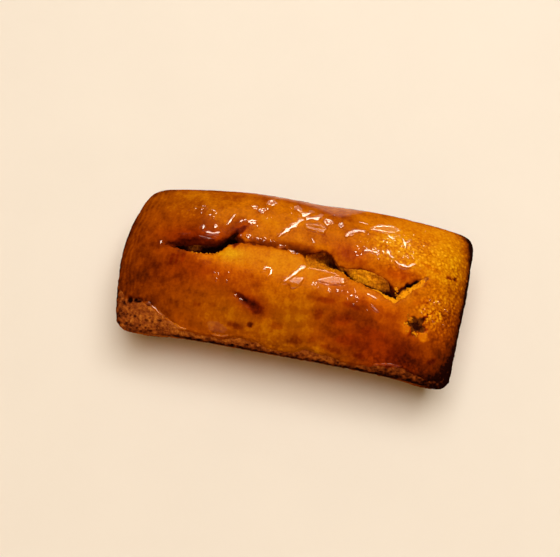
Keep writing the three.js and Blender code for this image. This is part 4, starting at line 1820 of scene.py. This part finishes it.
@dataclass
class Crumbs:
    """Small crumbs and flakes that hang on the torn edges."""

    cake: CakeBody
    coat: GlazeCoat
    name: str = "crumbs"
    seed: int = 5
    fineness: int = 2
    knobble: float = 0.5
    knobble_size: float = 0.9
    sizes: Range = (0.5, 1.3)
    stretch: Range = (0.6, 1.4)
    full_turn: float = 6.3
    bakes: Range = (-0.1, 0.25)
    lines: tuple[CrumbLine, ...] = (
        CrumbLine((-29, 0.1), (-21.5, 0.1), 18, 0.24, 0.2),
        CrumbLine((4.5, 0.9), (14, 0.9), 14, 0.24, 0.05),
        CrumbLine((15, 0.2), (28, -4.6), 18, 0.24, 0.1),
        CrumbLine((28.8, -4.4), (35.5, 2.8), 26, 0.3, 0.05),
        CrumbLine((37.4, -9.0), (38.6, -7.2), 9, 0.36, 0.0, 0.2),
        CrumbLine((34.8, -12.2), (35.6, -13.2), 8, 0.38, 0.0, 0.2),
        CrumbLine((32.6, -10), (33.2, -12.5), 7, 0.26, 0.1, 0.4),
        CrumbLine((28.3, -1.0), (29.0, -3.2), 12, 0.34, 0.15, 0.2),
        CrumbLine((32.2, -8.6), (33.8, -9.3), 14, 0.46, 0.2, 0.3),
    )

    def ball(self) -> tuple[np.ndarray, np.ndarray]:
        """Makes the ball that each crumb is shaped from.

        Returns:
            Its points, at a distance of 1 from its middle, and its faces.
        """
        ball = bmesh.new()
        bmesh.ops.create_icosphere(ball, subdivisions=self.fineness, radius=1.0)
        points = np.array([point.co for point in ball.verts])
        faces = np.array([[corner.index for corner in face.verts] for face in ball.faces])
        ball.free()
        return points, faces

    def build(self) -> bpy.types.Object:
        """Makes all the crumbs as one piece.

        Returns:
            The crumbs piece.
        """
        ball, ball_faces = self.ball()
        draw = np.random.default_rng(self.seed)
        points: list[np.ndarray] = []
        faces: list[np.ndarray] = []
        bake: list[np.ndarray] = []
        for line in self.lines:
            for share in draw.uniform(0.0, 1.0, line.count):
                faces.append(ball_faces + len(ball) * len(points))
                points.append(self.crumb(ball, line, share, draw))
                bake.append(np.full(len(ball), line.bake + draw.uniform(*self.bakes)))
        none = np.zeros(len(points) * len(ball))
        values = {"toast": np.concatenate(bake), "torn": none + 1.0, "depth_shade": none, "pit": none}
        finish = CrumbFinish(name="loose_crumb").material()
        return make_piece(self.name, np.vstack(points), np.vstack(faces).tolist(), values, finish)

    def crumb(self, ball: np.ndarray, line: CrumbLine, share: float,
              draw: np.random.Generator) -> np.ndarray:
        """Shapes one crumb.

        Args:
            ball: Points of the ball that it is shaped from.
            line: The torn edge that it hangs on.
            share: How far along that edge it lies.
            draw: Where the random numbers come from.

        Returns:
            Its points.
        """
        spot = self.spot(line, share, draw)
        lumps = Grain.clouds(ball + spot, self.knobble_size, Pattern.PLAIN, layers=2)
        grown = ball * (1.0 + self.knobble * lumps)[:, None]
        scale = line.size * draw.uniform(*self.sizes) * draw.uniform(*self.stretch, 3)
        spun = grown @ np.array(Matrix.Rotation(draw.uniform(0.0, self.full_turn), 3, "Z"))
        return spot + spun * scale

    def spot(self, line: CrumbLine, share: float, draw: np.random.Generator) -> np.ndarray:
        """Finds a place on the cake near a torn edge.

        Args:
            line: The torn edge.
            share: How far along it the place is.
            draw: Where the random numbers come from.

        Returns:
            The place.
        """
        along = np.array(line.start) + share * np.subtract(line.end, line.start)
        x, y = along + draw.normal(0, line.stray, 2)
        above = Vector((x, y, OVERHEAD))
        rays = [tree.ray_cast(above, DOWN) for tree in (self.cake.surface, self.coat.top)]
        return np.array([x, y, max(spot.z for spot, *_ in rays if spot)])


class LampUse(Enum):
    """What a lamp is for: lighting the form, or showing as a gleam in wet glaze."""

    FORM = "form"
    GLEAM = "gleam"


@dataclass(frozen=True)
class Lamp:
    """A soft panel of light: its place from the cake in degrees and metres, its size in metres."""

    name: str
    azimuth: float
    elevation: float
    distance: float
    width: float
    height: float
    watts: float
    use: LampUse = LampUse.FORM
    colour: Colour = (1.0, 0.96, 0.84)

    def light(self, aim: Vector) -> None:
        """Hangs the lamp so that it faces the cake.

        Args:
            aim: The place that it faces, in metres.
        """
        way = direction(self.azimuth, self.elevation)
        data = bpy.data.lights.new(self.name, "AREA")
        data.shape = "RECTANGLE"
        data.size, data.size_y = self.width, self.height
        data.energy = self.watts
        data.color = self.colour
        lamp = bpy.data.objects.new(self.name, data)
        lamp.location = aim + way * self.distance
        lamp.rotation_euler = (-way).to_track_quat("-Z", "Y").to_euler()
        lamp.visible_glossy = self.use is LampUse.GLEAM
        lamp.visible_diffuse = self.use is LampUse.FORM
        bpy.context.scene.collection.objects.link(lamp)


@dataclass
class Studio:
    """The floor and the lamps, in metres, and the camera, in millimetres like the cake."""

    aim: Axes = (-3.918, 0.532, 12.0)
    azimuth: float = 10.564
    elevation: float = 65.771
    distance: float = 282.65
    focal_pixels: float = 1000.0
    image_width: float = 560.0
    sensor: float = 36.0
    nearest: float = 10.0
    floor_size: float = 2.4
    ambient: Colour = (0.25, 0.142, 0.040)
    lamp_aim: Axes = (0.0, 0.0, 0.012)
    lamps: tuple[Lamp, ...] = (
        Lamp("overhead", 20.0, 79.0, 1.0, 1.0, 1.0, 9.8, colour=(1.0, 0.96, 0.87)),
        Lamp("key", 35.0, 52.0, 0.9, 0.3, 0.3, 0.6),
        Lamp("fill", 185.0, 38.0, 0.9, 0.8, 0.8, 0.7, colour=(1.0, 0.62, 0.26)),
        Lamp("gleam", 0.0, 55.0, 0.8, 0.55, 0.4, 20.0, LampUse.GLEAM, (1.0, 0.9, 0.76)),
        Lamp("low_gleam", 0.0, 28.0, 0.9, 0.7, 0.24, 13.0, LampUse.GLEAM, (1.0, 0.9, 0.74)),
        Lamp("wall", 0.0, 6.0, 1.2, 2.4, 0.3, 4.0, LampUse.GLEAM, (1.0, 0.93, 0.9)),
        Lamp("room", 180.0, 40.0, 1.0, 1.2, 0.8, 4.5, LampUse.GLEAM, (1.0, 0.92, 0.85)),
    )

    def build(self) -> None:
        """Sets up everything round the cake."""
        self.floor()
        for lamp in self.lamps:
            lamp.light(Vector(self.lamp_aim))
        world = bpy.data.worlds.new("studio")
        world.use_nodes = True
        world.node_tree.nodes["Background"].inputs["Color"].default_value = (*self.ambient, 1.0)
        bpy.context.scene.world = world
        bpy.context.scene.view_settings.view_transform = "Standard"
        self.camera()

    def floor(self) -> None:
        """Lays the pale floor under the cake."""
        half = self.floor_size / 2
        mesh = bpy.data.meshes.new("floor")
        corners = [(-half, -half, 0), (half, -half, 0), (half, half, 0), (-half, half, 0)]
        mesh.from_pydata(corners, [], [(0, 1, 2, 3)])
        mesh.materials.append(FloorFinish().material())
        floor = bpy.data.objects.new("floor", mesh)
        bpy.context.scene.collection.objects.link(floor)

    def camera(self) -> None:
        """Places the camera at the photograph's angle."""
        look = direction(-self.azimuth, -self.elevation)
        data = bpy.data.cameras.new("camera")
        data.sensor_width = self.sensor
        data.lens = self.focal_pixels / self.image_width * self.sensor
        data.clip_start = self.nearest * MM
        camera = bpy.data.objects.new("camera", data)
        camera.location = (Vector(self.aim) - look * self.distance) * MM
        camera.rotation_euler = look.to_track_quat("-Z", "Y").to_euler()
        bpy.context.scene.collection.objects.link(camera)
        bpy.context.scene.camera = camera


def report(piece: bpy.types.Object) -> None:
    """Logs a piece's name and fineness."""
    log.info("%s: %d points, %d faces", piece.name, len(piece.data.vertices), len(piece.data.polygons))


def main() -> None:
    """Builds the cake, its glaze and the studio."""
    logging.basicConfig(level=logging.INFO, format="%(name)s: %(message)s")
    cake = CakeBody(CrownForm(), SplitForm(), Browning())
    cake.shape()
    glaze = GlazeCoat(cake)
    glazed = glaze.lay()
    report(cake.build(glazed))
    report(glaze.build())
    report(GlazeDrops(glaze).build())
    report(Crumbs(cake, glaze).build())
    Studio().build()


if __name__ == "__main__":
    main()
